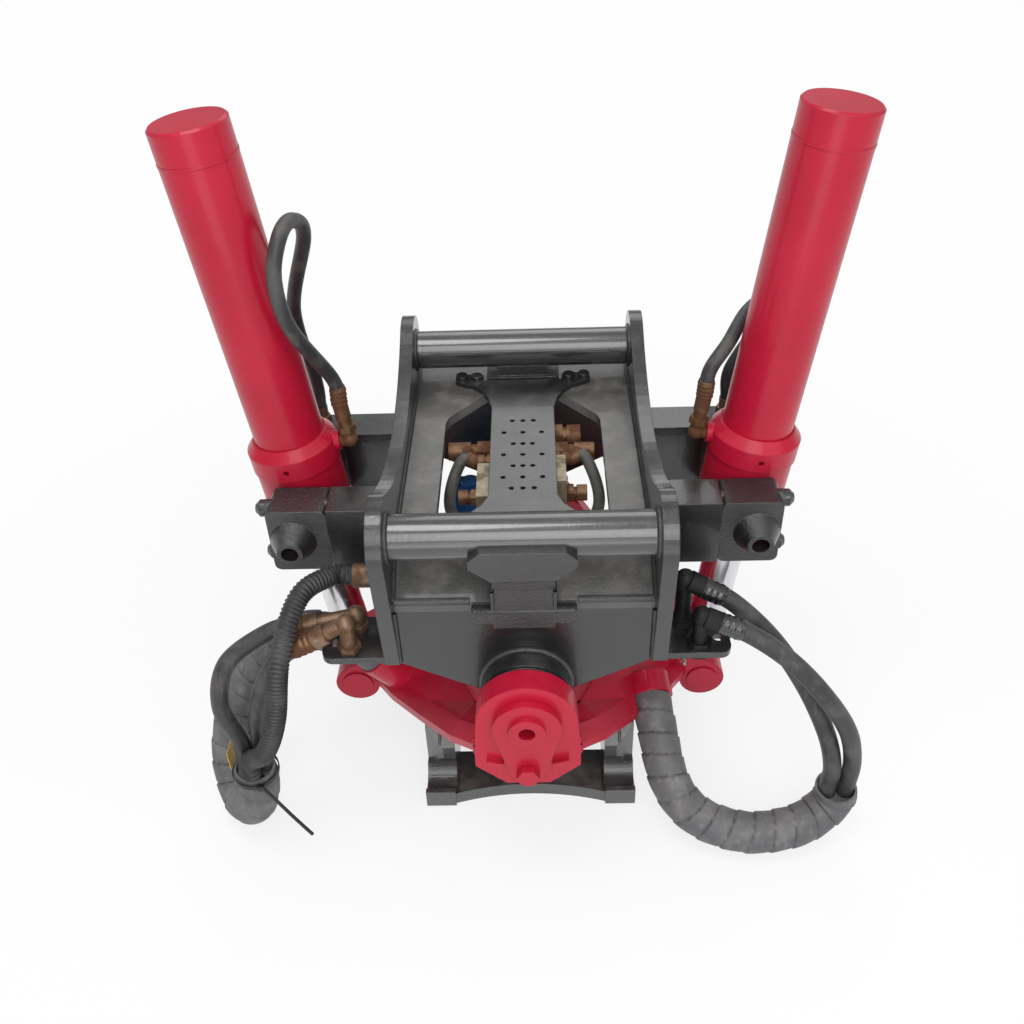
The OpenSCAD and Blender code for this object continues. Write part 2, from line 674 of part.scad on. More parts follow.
// Cross plate with a V-shaped lower edge and the tube for the tilt bush
module cross_plate(top) color(black) difference() {
    union() {
        along_y(-cross_y, cross_t) {
            half = [[0, tilt_height - 24], [48, tilt_height - 22], [plate_x, plate_foot - 2], [plate_x, top]];
            polygon(concat(half, flipped([for (i = [1:3]) half[i]])));
        }
        bar_y(-lug_y + lug_t + 2, -226, tube_r, 0, tilt_height);
        bar_y(-lug_y + lug_t + 10, -lug_y + lug_t + 20, tube_r + 4, 0, tilt_height);
    }
    bar_y(-lug_y, -200, tilt_pin_r + tilt_bush_t + fit_gap, 0, tilt_height);
}

module front_cross_plate() cross_plate(ledge_z);

module rear_cross_plate() mirror([0, 1, 0]) cross_plate(deck_height - deck_t);

module tilt_bushes() color(bronze) mirrored([0, 1, 0]) difference() {
    bar_y(-lug_y + lug_t + 2, -226, tilt_pin_r + tilt_bush_t, 0, tilt_height);
    bar_y(-lug_y, -200, tilt_pin_r + run_gap, 0, tilt_height);
}

// Saddle under the middle of the front hitch pin, on a bent column that stands on the apron
module front_support() {
    pad_top = pin_height + 6;
    pad = [[column_x, pin_height - 40], [pad_x, pin_height - 18], [pad_x, pin_height - 6],
        [pad_x - 14, pad_top]];
    along_y(-pin_y - 44, 50) polygon(concat(pad, flipped(pad)));
    along_x(-column_x, 2 * column_x) polygon([[-pin_y - 44, pin_height - 16], [-pin_y - 38, pin_height - 60],
        [-cross_y - 14, ledge_z - 20], [-cross_y, ledge_z - 20], [-cross_y, ledge_z + deck_t],
        [-pin_y + 6, support_back_z], [-pin_y + 6, pin_height - 16]]);
    box([-column_x - 28, -cross_y - 12, ledge_z - 14], [column_x + 28, -cross_y, ledge_z + 10]);
}

// Saddle under the rear hitch pin, on a wide base on the deck
module rear_support() {
    box([-column_x - 16, pin_y - 28, deck_height], [column_x + 16, cross_y, deck_height + 8]);
    box([-column_x, pin_y - 22, deck_height], [column_x, cross_y, pin_height - 4]);
}

// Height of the apron's top face under the hitch pin's inner side
support_back_z = deck_height - (deck_height - ledge_z - deck_t) * (pin_y - 6 - apron_y) / (cross_y - apron_y);

module pin_supports() color(black) difference() {
    union() {
        front_support();
        rear_support();
    }
    for (s = [-1, 1]) bar_x(-plate_x, plate_x, pin_d / 2 + fit_gap, s * pin_y, pin_height);
}

// Bolted block that holds one trunnion, with a tapered boss on its outer face
module trunnion_block() difference() {
    union() {
        along_y(-arm_back, arm_t) translate([(arm_out + block_out) / 2, trunnion_z])
            round_rect((block_out - arm_out) / 2, arm_h / 2, 10);
        translate([trunnion_x, -arm_back, trunnion_z]) rotate([90, 0, 0])
            cylinder(h = boss_len, r1 = boss_r, r2 = boss_tip_r);
        bar_x(arm_out, block_out + 4, block_boss_r, -block_bolt_y, trunnion_z + block_bolt_z);
    }
    bar_y(-trunnion_end - 1, -arm_gap + 1, bush_bore_r + fit_gap, trunnion_x, trunnion_z);
    bar_y(-arm_back - boss_len - 1, -arm_gap, boss_hole_r, trunnion_x, trunnion_z);
    for (s = [-1, 1]) bar_x(arm_out - 1, block_out + 5, block_bolt_r + fit_gap, -block_bolt_y,
        trunnion_z + s * block_bolt_z);
}

module trunnion_blocks() color(black) mirrored([1, 0, 0]) mirrored([0, 1, 0]) trunnion_block();

module trunnion_bushes() color(bronze) mirrored([1, 0, 0]) mirrored([0, 1, 0]) difference() {
    bar_y(-trunnion_end, -arm_gap, bush_bore_r, trunnion_x, trunnion_z);
    bar_y(-trunnion_end - 1, -arm_gap + 1, trunnion_r + run_gap, trunnion_x, trunnion_z);
}

module trunnion_bolts() color(black) mirrored([1, 0, 0]) mirrored([0, 1, 0]) for (s = [-1, 1]) {
    head_x = s > 0 ? block_out + 4 : block_out;
    bar_x(arm_out - block_bolt_in, head_x, block_bolt_r, -block_bolt_y, trunnion_z + s * block_bolt_z);
    translate([head_x, -block_bolt_y, trunnion_z + s * block_bolt_z]) rotate([0, 90, 0]) {
        cylinder(h = 8, r = 12.5);
        translate([0, 0, 8]) cylinder(h = 6, r1 = 12.5, r2 = 7);
    }
}

// Corner of a hose's elbow, behind the first point of its route
function corner(route, reach) = route[0] - reach * unit(route[1] - route[0]);

right_reach = 26;
left_reach = 72;
right_corners = [corner(right_upper_route, right_reach), corner(right_lower_route, right_reach)];
left_corners = [corner(left_outer_route, left_reach), corner(left_inner_route, 50)];

// Plate with two rounded corners, drilled for the stems of the hose elbows
module bracket(corners) difference() {
    translate([plate_out + bracket_x / 2, -bracket_y0 - bracket_len / 2, bracket_z]) linear_extrude(bracket_t)
        polygon(concat([[-bracket_x / 2, -bracket_len / 2]],
            arc([bracket_x / 2 - 16, 16 - bracket_len / 2], 16, -90, 0, 8),
            arc([bracket_x / 2 - 16, bracket_len / 2 - 16], 16, 0, 90, 8),
            [[-bracket_x / 2, bracket_len / 2]]));
    for (p = corners) bar_z(bracket_z - 1, bracket_z + bracket_t + 1, stem_r + fit_gap, abs(p[0]), p[1]);
    bar_z(bracket_z - 1, bracket_z + bracket_t + 1, 7, plate_out + 72, -bracket_y0 - 52);
    bar_z(bracket_z - 1, bracket_z + bracket_t + 1, 5, plate_out + 74, -bracket_y0 - 20);
}

module hose_brackets() color(black) {
    bracket(right_corners);
    left_side() bracket(left_corners);
}

// Bulkhead elbow: a stem with a nut above and below the bracket, a bend and a crimped sleeve
module elbow(bend, tip) {
    along = unit(tip - bend);
    bar_z(bracket_z - 8, bend[2], stem_r, bend[0], bend[1]);
    translate([bend[0], bend[1], bracket_z - 6]) cylinder(h = 6, r = 17, $fn = 6);
    translate([bend[0], bend[1], bracket_z + bracket_t]) cylinder(h = 9, r = 17, $fn = 6);
    translate(bend) sphere(r = 13.5);
    rod(bend, short_of(bend, tip), 10);
    rod(tip - 20 * along, short_of(bend, tip), hose_r + 1.5);
}

// Upright fitting on a trunnion block for a cylinder hose
module block_fitting(tip) {
    bar_z(block_top, tip[2] - joint_gap, small_r + 1, tip[0], tip[1]);
    translate([tip[0], tip[1], block_top]) cylinder(h = 10, r = 15, $fn = 6);
}

module frame_fittings() color(rust) {
    elbow(right_corners[0], right_upper_route[0]);
    elbow(right_corners[1], right_lower_route[0]);
    elbow(left_corners[0], left_outer_route[0]);
    elbow(left_corners[1], left_inner_route[0]);
    conduit_tip = left_conduit_route[0];
    bar_x(conduit_tip[0] + joint_gap, -plate_out, conduit_d / 2 + 2, conduit_tip[1], conduit_tip[2]);
    mirrored([1, 0, 0]) block_fitting(barrel_end_route[1]);
}

// Valve block with a lobe on each side, hung under its cover
module valve_block() color([0.62, 0.6, 0.5]) {
    box([-valve_x, -valve_front, valve_z], [valve_x, valve_rear, deck_height]);
    box([-valve_x - lobe_left, -95, valve_z + 12], [-valve_x + 1, -15, deck_height]);
    box([valve_x - 1, -62, valve_z + 12], [valve_x + lobe_right, 2, deck_height]);
}

lobe_left = 20;
lobe_right = 16;

// Long plate over the valve block, with ears that are bolted to the deck
module cover_outline() {
    neck = 48;
    ear = 108;
    rear = [[62, 205], [64, 224], [100, 226], [ear, 219], [ear, 206], [99, 199], [80, 190], [64, 174],
        [54, 150], [neck, 122]];
    front = [[neck, -105], [56, -124], [74, -144], [97, -156], [ear, -161], [ear, -176], [100, -183]];
    half = concat(rear, front);
    polygon(concat(half, flipped(half)));
}

// Rows of three holes in the cover: their place along the deck and their distance apart
cover_hole_rows = [[-88, 16], [-62, 28], [-34, 14], [-6, 28], [22, 14], [52, 28], [84, 16]];

module valve_cover() color(black) translate([0, 0, deck_height]) difference() {
    linear_extrude(cover_t) cover_outline();
    mirrored([1, 0, 0]) for (p = cover_spots) bar_z(-1, cover_t + 1, 5 + fit_gap, p[0], p[1]);
    for (row = cover_hole_rows) for (x = [-row[1], 0, row[1]]) bar_z(-1, cover_t + 1, 3.5, x, row[0]);
}

module cover_bolts() color(black) mirrored([1, 0, 0]) for (p = cover_spots) {
    bar_z(deck_height - deck_t + 2, deck_height + cover_t, 5, p[0], p[1]);
    bar_z(deck_height + cover_t, deck_height + cover_t + 7, 9, p[0], p[1]);
}

// A fitting on the right side of the valve block: its foot, its nut and its sleeve
module valve_fitting(x, y, z, length, r) {
    bar_x(x, x + length, r * 0.75, y, z);
    bar_x(x, x + length * 0.35, r * 1.2, y, z, $fn = 6);
    bar_x(x + length * 0.5, x + length, r, y, z);
}

module valve_fittings() color(rust) {
    tip_z = valve_tip_right[2];
    left_side() {
        valve_fitting(valve_x, 66, valve_z + 41, 68, 14);
        valve_fitting(valve_x, valve_tip_left[1], tip_z, -valve_tip_left[0] - valve_x - joint_gap, small_r);
        valve_fitting(valve_x + lobe_left, -46, valve_z + 37, 28, 11);
    }
    valve_fitting(valve_x, 102, valve_z + 43, 42, 16);
    valve_fitting(valve_x, 68, valve_z + 37, 62, 13);
    valve_fitting(valve_x, valve_tip_right[1], tip_z, valve_tip_right[0] - valve_x - joint_gap, small_r);
    valve_fitting(valve_x + lobe_right, -40, valve_z + 37, 30, 12);
}

// Places a cylinder's own axis, with its origin at the trunnion and +Z up the barrel
module on_cylinder() translate([trunnion_x, 0, trunnion_z]) rotate([0, lean, 0]) children();

// Places the rod's own axis, with its origin at the rod pin and +Z up the rod
module on_rod() translate([rod_pin_x, 0, rod_pin_z]) rotate([0, lean, 0]) children();

module tilt_barrel_right() color(red) on_cylinder() difference() {
    union() {
        bar_z(barrel_low, barrel_top - 3, barrel_d / 2, 0, 0);
        bar_z(barrel_top - cap_t, barrel_top - cap_t + 4, barrel_d / 2 + 0.6, 0, 0);
        translate([0, 0, barrel_top - 3]) cylinder(h = 3, r1 = barrel_d / 2, r2 = barrel_d / 2 - 3);
    }
    bar_z(barrel_low - 1, barrel_top - cap_t, bore_d / 2, 0, 0);
}

module tilt_barrel_left() left_side() tilt_barrel_right();

module trunnion_collar_right() color(red) on_cylinder() difference() {
    union() {
        bar_z(body_low, body_top, trunnion_body_r, 0, 0);
        bar_z(body_top, collar_top - 14, collar_r, 0, 0);
        translate([0, 0, collar_top - 14]) cylinder(h = 14, r1 = collar_r, r2 = barrel_d / 2 + 3);
        bar_y(-trunnion_end + 3, trunnion_end - 3, trunnion_r, 0, 0);
        bar_x(-port_x, -barrel_d / 2 - 5, 14, 0, port_z);
    }
    bar_z(barrel_low, collar_top + 1, barrel_d / 2 + fit_gap, 0, 0);
    bar_z(body_low - 1, barrel_low + 1, gland_r + fit_gap, 0, 0);
    bar_y(-collar_r - 1, -barrel_d / 2, 4, 0, body_top + 16);
}

module trunnion_collar_left() left_side() trunnion_collar_right();

module rod_gland_right() color(steel) on_cylinder() difference() {
    union() {
        bar_z(gland_low, body_low, 52, 0, 0);
        bar_z(gland_low, gland_top, gland_r, 0, 0);
    }
    bar_z(gland_low - 1, gland_top + 1, rod_d / 2 + run_gap, 0, 0);
}

module rod_gland_left() left_side() rod_gland_right();

module port_fitting_right() color(rust) on_cylinder() {
    bar_x(-tip_x, -port_x, 10, 0, port_z);
    translate([-tip_x, 0, port_z]) sphere(r = 12);
    bar_z(port_z, tip_z - 12, small_r - 1, -tip_x, 0);
    translate([-tip_x, 0, port_z + 14]) cylinder(h = 10, r = 14, $fn = 6);
    bar_z(tip_z - 24, tip_z - joint_gap, small_r + 1, -tip_x, 0);
}

module port_fitting_left() left_side() port_fitting_right();

module tilt_rod_right() color(steel) on_rod() difference() {
    union() {
        bar_z(20, rod_len - piston_t - 4, rod_d / 2, 0, 0);
        bar_z(20, rod_len, rod_d / 2 - 12, 0, 0);
        bar_y(-eye_y, eye_y, eye_r, 0, 0);
    }
    bar_y(-eye_y - 1, eye_y + 1, rod_pin_r + run_gap, 0, 0);
}

module tilt_rod_left() left_side() tilt_rod_right();

module piston_right() color(steel) on_rod() difference() {
    bar_z(rod_len - piston_t - 4, rod_len - 4, bore_d / 2 - run_gap, 0, 0);
    bar_z(rod_len - piston_t - 5, rod_len, rod_d / 2 - 12 + fit_gap, 0, 0);
}

module piston_left() left_side() piston_right();

module right_hose_upper() color(rubber) hose(right_upper_route, hose_r);

module right_hose_lower() color(rubber) hose(right_lower_route, hose_r);

module right_bundle() color(rubber) hose(right_bundle_route, bundle_r);

module left_hose_outer() color(rubber) hose(left_outer_route, hose_r);

module left_hose_inner() color(rubber) hose(left_inner_route, hose_r);

module left_conduit() color(rubber) hose(left_conduit_route, conduit_d / 2);

module left_bundle() color(rubber) hose(left_bundle_route, bundle_r);

module barrel_hose_left() color(rubber) hose(barrel_left_route, small_r);

module barrel_hose_right() color(rubber) hose(barrel_right_route, small_r);

module valve_hose_left() color(rubber) hose(valve_left_route, small_r - 1);

module valve_hose_right() color(rubber) hose(valve_right_route, small_r - 1);

coupler_frame();
rotor_flange();
ring_gear();
flange_bolts();
rotor_retainer();
lock_cylinder();
lock_slide();
rotor_housing();
slew_ring();
swivel_cover();
oil_swivel();
drive_motor();
tilt_pin_front();
tilt_pin_rear();
tilt_pin_bolts();
arm_pin_left();
arm_pin_right();
drive_pinion();
side_plate_left();
side_plate_right();
front_hitch_pin();
rear_hitch_pin();
deck_plate();
front_cross_plate();
rear_cross_plate();
pin_supports();
tilt_bushes();
trunnion_blocks();
trunnion_bushes();
trunnion_bolts();
hose_brackets();
frame_fittings();
valve_block();
valve_cover();
cover_bolts();
valve_fittings();
tilt_barrel_left();
tilt_barrel_right();
trunnion_collar_left();
trunnion_collar_right();
rod_gland_left();
rod_gland_right();
port_fitting_left();
port_fitting_right();
tilt_rod_left();
tilt_rod_right();
piston_left();
piston_right();
right_hose_upper();
right_hose_lower();
right_bundle();
left_hose_outer();
left_hose_inner();
left_conduit();
left_bundle();
barrel_hose_left();
barrel_hose_right();
valve_hose_left();
valve_hose_right();
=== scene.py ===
"""Looks of an excavator tilt rotator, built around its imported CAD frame."""

import json
import logging
import math
from dataclasses import dataclass, field
from enum import Enum
from itertools import accumulate
from typing import Any, Callable, Sequence

import bpy
from mathutils import Matrix, Vector

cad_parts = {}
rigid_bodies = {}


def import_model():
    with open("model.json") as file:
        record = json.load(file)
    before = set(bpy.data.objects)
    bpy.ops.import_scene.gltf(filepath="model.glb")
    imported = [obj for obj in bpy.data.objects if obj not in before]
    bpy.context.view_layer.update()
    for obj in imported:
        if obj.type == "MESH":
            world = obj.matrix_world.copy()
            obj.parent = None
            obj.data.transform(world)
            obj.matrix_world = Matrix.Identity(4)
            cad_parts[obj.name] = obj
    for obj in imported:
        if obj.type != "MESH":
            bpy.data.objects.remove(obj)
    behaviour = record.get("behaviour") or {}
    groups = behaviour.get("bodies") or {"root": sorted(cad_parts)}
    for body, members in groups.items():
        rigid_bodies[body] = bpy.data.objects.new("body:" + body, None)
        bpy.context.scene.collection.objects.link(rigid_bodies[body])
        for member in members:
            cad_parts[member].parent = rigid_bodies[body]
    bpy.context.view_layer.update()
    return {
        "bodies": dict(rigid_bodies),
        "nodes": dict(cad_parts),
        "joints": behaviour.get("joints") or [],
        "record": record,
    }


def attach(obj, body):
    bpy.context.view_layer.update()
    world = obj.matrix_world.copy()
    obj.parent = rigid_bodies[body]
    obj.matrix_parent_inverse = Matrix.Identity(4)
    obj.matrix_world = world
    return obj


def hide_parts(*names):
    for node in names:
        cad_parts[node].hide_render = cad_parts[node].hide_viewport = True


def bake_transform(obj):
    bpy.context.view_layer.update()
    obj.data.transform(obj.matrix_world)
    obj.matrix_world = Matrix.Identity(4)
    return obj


LOG = logging.getLogger("tilt_rotator")
MM = 0.001
Colour = tuple[float, float, float]
Point = tuple[float, float, float]
Pair = tuple[float, float]
Piece = bpy.types.Object
Material = bpy.types.Material
Socket = bpy.types.NodeSocket
EVEN: Point = (1.0, 1.0, 1.0)


class Side(Enum):
    """Side of the machine, as the sign of X."""

    LEFT = -1
    RIGHT = 1


class Value:
    """A number that varies over a surface; arithmetic on it adds Math nodes."""

    def __init__(self, graph: "Graph", socket: Socket) -> None:
        """Wraps a socket of a graph."""
        self.graph = graph
        self.socket = socket

    def math(self, operation: str, *terms: Any) -> "Value":
        """Result of a Math node with its operation and its inputs, numbers or values, in order."""
        node = self.graph.add("ShaderNodeMath", {"operation": operation}, dict(enumerate(terms)))
        return Value(self.graph, node.outputs[0])

    def __add__(self, other: Any) -> "Value":
        """Sum with a number or a value."""
        return self.math("ADD", self, other)

    def __rsub__(self, other: Any) -> "Value":
        """Difference from a number."""
        return self.math("SUBTRACT", other, self)

    def __mul__(self, other: Any) -> "Value":
        """Product with a number or a value."""
        return self.math("MULTIPLY", self, other)

    def step(self, low: float, high: float) -> "Value":
        """Turns the value into a smooth mask.

        Args:
            low: Where the mask is 0.
            high: Where the mask is 1, above or below low.

        Returns:
            The mask.
        """
        limits = {"Value": self, "From Min": low, "From Max": high}
        node = self.graph.add("ShaderNodeMapRange", {"interpolation_type": "SMOOTHSTEP"}, limits)
        return Value(self.graph, node.outputs[0])


@dataclass(frozen=True)
class Layer:
    """Noise of one size that is turned into a mask, with its scale in features per metre."""

    scale: float
    detail: float
    low: float
    high: float
    stretch: Point = EVEN


CLOUDS = Layer(scale=6.0, detail=3.0, low=0.35, high=0.65)
CHIPS = Layer(scale=90.0, detail=5.0, low=0.5, high=0.62)
SETTLED_DUST = Layer(scale=28.0, detail=6.0, low=0.42, high=0.72)
SPECK_FIELDS = Layer(scale=16.0, detail=3.0, low=0.45, high=0.65)
SCUFFS = Layer(scale=24.0, detail=6.0, low=0.44, high=0.68)
SCRATCHES = Layer(scale=150.0, detail=5.0, low=0.52, high=0.7, stretch=(1.0, 1.0, 0.25))


class Graph:
    """The node tree of one material, with its main shader."""

    def __init__(self, name: str) -> None:
        """Makes an empty material with one Principled shader.

        Args:
            name: The material's name.
        """
        self.material = bpy.data.materials.new(name)
        self.material.use_nodes = True
        self.tree = self.material.node_tree
        self.shader = self.tree.nodes["Principled BSDF"]

    def add(self, kind: str, settings: dict[str, Any], inputs: dict[Any, Any]) -> bpy.types.Node:
        """Adds a node.

        Args:
            kind: The node's type name.
            settings: Attributes that are set first.
            inputs: Socket name or number to a value, a link or a constant.

        Returns:
            The new node.
        """
        node = self.tree.nodes.new(kind)
        for name, setting in settings.items():
            setattr(node, name, setting)
        for key, given in inputs.items():
            self.feed(node.inputs[key], given)
        return node

    def feed(self, socket: Socket, given: Any) -> None:
        """Links a value to a socket, or sets the socket to a constant.

        Args:
            socket: The socket to feed.
            given: A value, another node's socket, a colour or a number.
        """
        if isinstance(given, Value):
            self.tree.links.new(given.socket, socket)
        elif isinstance(given, Socket):
            self.tree.links.new(given, socket)
        elif isinstance(given, tuple) and socket.type == "RGBA":
            socket.default_value = (*given, 1.0)
        else:
            socket.default_value = given

    def place(self) -> Socket:
        """Object coordinates."""
        return self.add("ShaderNodeTexCoord", {}, {}).outputs["Object"]

    def noise(self, scale: float, detail: float, stretch: Point = EVEN) -> Value:
        """Cloudy noise in Object coordinates.

        Args:
            scale: Features per metre.
            detail: Octaves of finer noise.
            stretch: Factors on the three axes.

        Returns:
            The noise, about 0.3 to 0.7.
        """
        mapping = self.add("ShaderNodeMapping", {}, {"Vector": self.place(), "Scale": stretch})
        inputs = {"Vector": mapping.outputs[0], "Scale": scale, "Detail": detail}
        return Value(self, self.add("ShaderNodeTexNoise", {}, inputs).outputs[0])

    def mask(self, layer: Layer) -> Value:
        """Mask made from a layer's noise."""
        return self.noise(layer.scale, layer.detail, layer.stretch).step(layer.low, layer.high)

    def cells(self, scale: float) -> Value:
        """Distance to the nearest of scattered points, for spots."""
        node = self.add("ShaderNodeTexVoronoi", {}, {"Vector": self.place(), "Scale": scale})
        return Value(self, node.outputs["Distance"])

    def upward(self) -> Value:
        """How far a surface faces up: 1 on top, 0 on a wall."""
        normal = self.add("ShaderNodeNewGeometry", {}, {}).outputs["Normal"]
        return Value(self, self.add("ShaderNodeSeparateXYZ", {}, {0: normal}).outputs[2])

    def edges(self, radius: float) -> Value:
        """Finds sharp edges.

        Args:
            radius: Reach from the edge in metres.

        Returns:
            The mask of the edges.
        """
        rounded = self.add("ShaderNodeBevel", {"samples": 4}, {"Radius": radius}).outputs[0]
        normal = self.add("ShaderNodeNewGeometry", {}, {}).outputs["Normal"]
        dot = self.add("ShaderNodeVectorMath", {"operation": "DOT_PRODUCT"}, {0: rounded, 1: normal})
        return 1.0 - Value(self, dot.outputs["Value"])

    def mix(self, factor: Any, first: Any, second: Any) -> Socket:
        """Colour between first, at factor 0, and second, at factor 1."""
        node = self.add("ShaderNodeMix", {"data_type": "RGBA"}, {0: factor, 6: first, 7: second})
        return node.outputs[2]

    def bump(self, height: Value, depth: float, radius: float = 0.0) -> None:
        """Raises the surface by a height map.

        Args:
            height: The map, 0 to 1.
            depth: Metres that a height of 1 stands for.
            radius: Radius in metres that sharp edges seem to have, or 0.
        """
        inputs: dict[Any, Any] = {"Height": height, "Distance": depth, "Strength": 1.0}
        if radius > 0.0:
            inputs["Normal"] = self.add("ShaderNodeBevel", {"samples": 6}, {"Radius": radius}).outputs[0]
        node = self.add("ShaderNodeBump", {}, inputs)
        self.tree.links.new(node.outputs[0], self.shader.inputs["Normal"])

    def surface(self, **inputs: Any) -> None:
        """Feeds the shader's sockets, named with underscores for spaces."""
        for name, given in inputs.items():
            socket = name.replace("_", " ").title().replace("Ior", "IOR")
            self.feed(self.shader.inputs[socket], given)


@dataclass(frozen=True)
class Paint:
    """Sprayed paint with orange peel, dust on what faces up, and worn edges.

    Lengths are in metres and scales in features per metre.
    """

    name: str
    colour: Colour
    shade: Colour
    worn: Colour
    roughness: float
    dust: float
    wear: float
    peel: float
    gloss: float = 0.2
    specular: float = 0.5
    rings: Point = EVEN
    dust_colour: Colour = (0.3, 0.285, 0.265)
    peel_scale: float = 260.0
    grain_scale: float = 900.0
    grain_share: float = 0.6
    speck_scale: float = 330.0
    speck_share: float = 0.5
    chip_reach: float = 0.003
    edge_radius: float = 0.0022
    peel_roughness: float = 0.16
    dust_roughness: float = 0.4
    coat_roughness: float = 0.06

    def film(self, graph: Graph) -> Value:
        """Dust that has settled on top, with specks of it all round.

        Args:
            graph: The material's nodes.

        Returns:
            How much the dust covers.
        """
        settled = graph.upward().step(0.2, 1.0) * graph.mask(SETTLED_DUST)
        specks = graph.cells(self.speck_scale).step(0.3, 0.16) * graph.mask(SPECK_FIELDS)
        return (settled + specks * self.speck_share) * self.dust

    def material(self) -> Material:
        """Builds the material.

        Returns:
            The material.
        """
        graph = Graph(self.name)
        fine = graph.noise(self.peel_scale, detail=3.0, stretch=self.rings)
        grain = graph.noise(self.grain_scale, detail=2.0)
        base = graph.mix(graph.mask(CLOUDS), self.colour, self.shade)
        chip = graph.edges(self.chip_reach).step(0.04, 0.3) * graph.mask(CHIPS) * self.wear
        film = self.film(graph)
        smoothest = self.roughness - self.peel_roughness / 2
        graph.surface(
            base_color=graph.mix(film, graph.mix(chip, base, self.worn), self.dust_colour),
            roughness=fine * self.peel_roughness + film * self.dust_roughness + smoothest,
            coat_weight=self.gloss - film * self.gloss,
            coat_roughness=self.coat_roughness,
            specular_ior_level=self.specular,
        )
        graph.bump(grain * self.grain_share + fine, self.peel, self.edge_radius)
        return graph.material


@dataclass(frozen=True)
class Metal:
    """Bare metal with tool marks, stains and rust, black at the front right if so asked."""

    name: str
    colour: Colour
    stain: Colour
    roughness: float
    stained: float
    lines: Point = EVEN
    metallic: float = 1.0
    black_right: bool = False
    mark_scale: float = 120.0
    blotch_scale: float = 34.0
    mark_roughness: float = 0.2
    stain_roughness: float = 0.3
    mark_share: float = 0.4
    relief: float = 0.0003
    edge_radius: float = 0.001
    paint: Colour = (0.02, 0.02, 0.021)
    right_edge: Pair = (0.1, 0.12)
    front_edge: Pair = (-0.1, -0.12)

    def painted(self, graph: Graph) -> Value:
        """Mask of the front right part of the machine, where the fittings are painted over."""
        axes = graph.add("ShaderNodeSeparateXYZ", {}, {0: graph.place()}).outputs
        return Value(graph, axes[0]).step(*self.right_edge) * Value(graph, axes[1]).step(*self.front_edge)

    def material(self) -> Material:
        """Builds the material.

        Returns:
            The material.
        """
        graph = Graph(self.name)
        marks = graph.noise(self.mark_scale, detail=4.0, stretch=self.lines)
        blotch = graph.noise(self.blotch_scale, detail=6.0)
        cover = blotch.step(0.62 - 0.3 * self.stained, 0.7 - 0.2 * self.stained)
        shown = graph.mix(cover, graph.mix(marks, self.colour, self.stain), self.stain)
        if self.black_right:
            shown = graph.mix(self.painted(graph), shown, self.paint)
        graph.surface(
            base_color=shown,
            roughness=marks * self.mark_roughness + cover * self.stain_roughness + self.roughness,
            metallic=self.metallic - cover * (self.metallic * self.stained),
        )
        graph.bump(marks * self.mark_share + blotch * self.stained, self.relief, self.edge_radius)
        return graph.material


@dataclass(frozen=True)
class Rubber:
    """Hose cover or plastic, scuffed pale in patches and dusty on top."""

    name: str
    colour: Colour
    scuffed: Colour
    roughness: float
    scuffs: float
    dust_scale: float = 60.0
    fine_scale: float = 700.0
    patch_share: float = 0.6
    scratch_share: float = 0.4
    dust_share: float = 0.5
    patch_roughness: float = 0.2
    fine_roughness: float = 0.1
    fine_height: float = 0.6
    scratch_height: float = 0.4
    relief: float = 0.0003

    def material(self) -> Material:
        """Builds the material.

        Returns:
            The material.
        """
        graph = Graph(self.name)
        patch = graph.mask(SCUFFS) * self.scuffs
        scratch = graph.mask(SCRATCHES) * self.scuffs
        share = self.dust_share * self.scuffs
        dust = graph.upward().step(0.1, 1.0) * graph.noise(self.dust_scale, detail=5.0) * share
        fine = graph.noise(self.fine_scale, detail=3.0)
        pale = patch * self.patch_share + scratch * self.scratch_share + dust
        graph.surface(
            base_color=graph.mix(pale, self.colour, self.scuffed),
            roughness=patch * self.patch_roughness + fine * self.fine_roughness + self.roughness,
        )
        graph.bump(fine * self.fine_height + scratch * self.scratch_height, self.relief)
        return graph.material


Finish = Paint | Metal | Rubber

RED = Paint(
    "red_paint", (0.5, 0.009, 0.037), (0.44, 0.007, 0.03), (0.2, 0.02, 0.03),
    roughness=0.34, dust=0.03, wear=0.35, peel=0.0001, gloss=0.15, specular=0.28,
)
BLACK = Paint(
    "black_paint", (0.013, 0.014, 0.015), (0.02, 0.021, 0.022), (0.13, 0.13, 0.13),
    roughness=0.2, dust=0.1, wear=0.4, peel=0.0003, gloss=0.3, specular=0.75,
)
ROUGH_BLACK = Paint(
    "rough_black_paint", (0.012, 0.013, 0.014), (0.02, 0.021, 0.023), (0.13, 0.13, 0.13),
    roughness=0.17, dust=0.05, wear=0.4, peel=0.0012, gloss=0.0, specular=1.0,
)
# Deck plate: a pale base and heavy dust on what faces up, partly real dust and partly a painted reflection
# of the bright sky on the glossy deck
DECK_DUST_AND_SHEEN = Paint(
    "deck_dust_and_sheen_paint", (0.06, 0.059, 0.056), (0.085, 0.083, 0.079), (0.14, 0.13, 0.12),
    roughness=0.34, dust=0.4, wear=0.5, peel=0.0006, gloss=0.3, specular=0.7,
)
DUSTY_BLACK = Paint(
    "dusty_black_paint", (0.034, 0.034, 0.035), (0.05, 0.049, 0.049), (0.14, 0.13, 0.12),
    roughness=0.34, dust=0.3, wear=0.7, peel=0.0008, gloss=0.6, specular=0.8,
)
TURNED_BLACK = Paint(
    "turned_black_paint", (0.016, 0.017, 0.018), (0.028, 0.029, 0.03), (0.14, 0.14, 0.135),
    roughness=0.18, dust=0.06, wear=0.6, peel=0.0004, gloss=1.0, specular=0.8,
    rings=(1.0, 0.02, 0.02),
)
BLUE = Paint(
    "blue_paint", (0.02, 0.17, 0.5), (0.015, 0.13, 0.4), (0.1, 0.12, 0.15),
    roughness=0.4, dust=0.15, wear=0.5, peel=0.0002,
)
STEEL = Metal("machined_steel", (0.5, 0.5, 0.51), (0.22, 0.17, 0.13), roughness=0.28, stained=0.3)
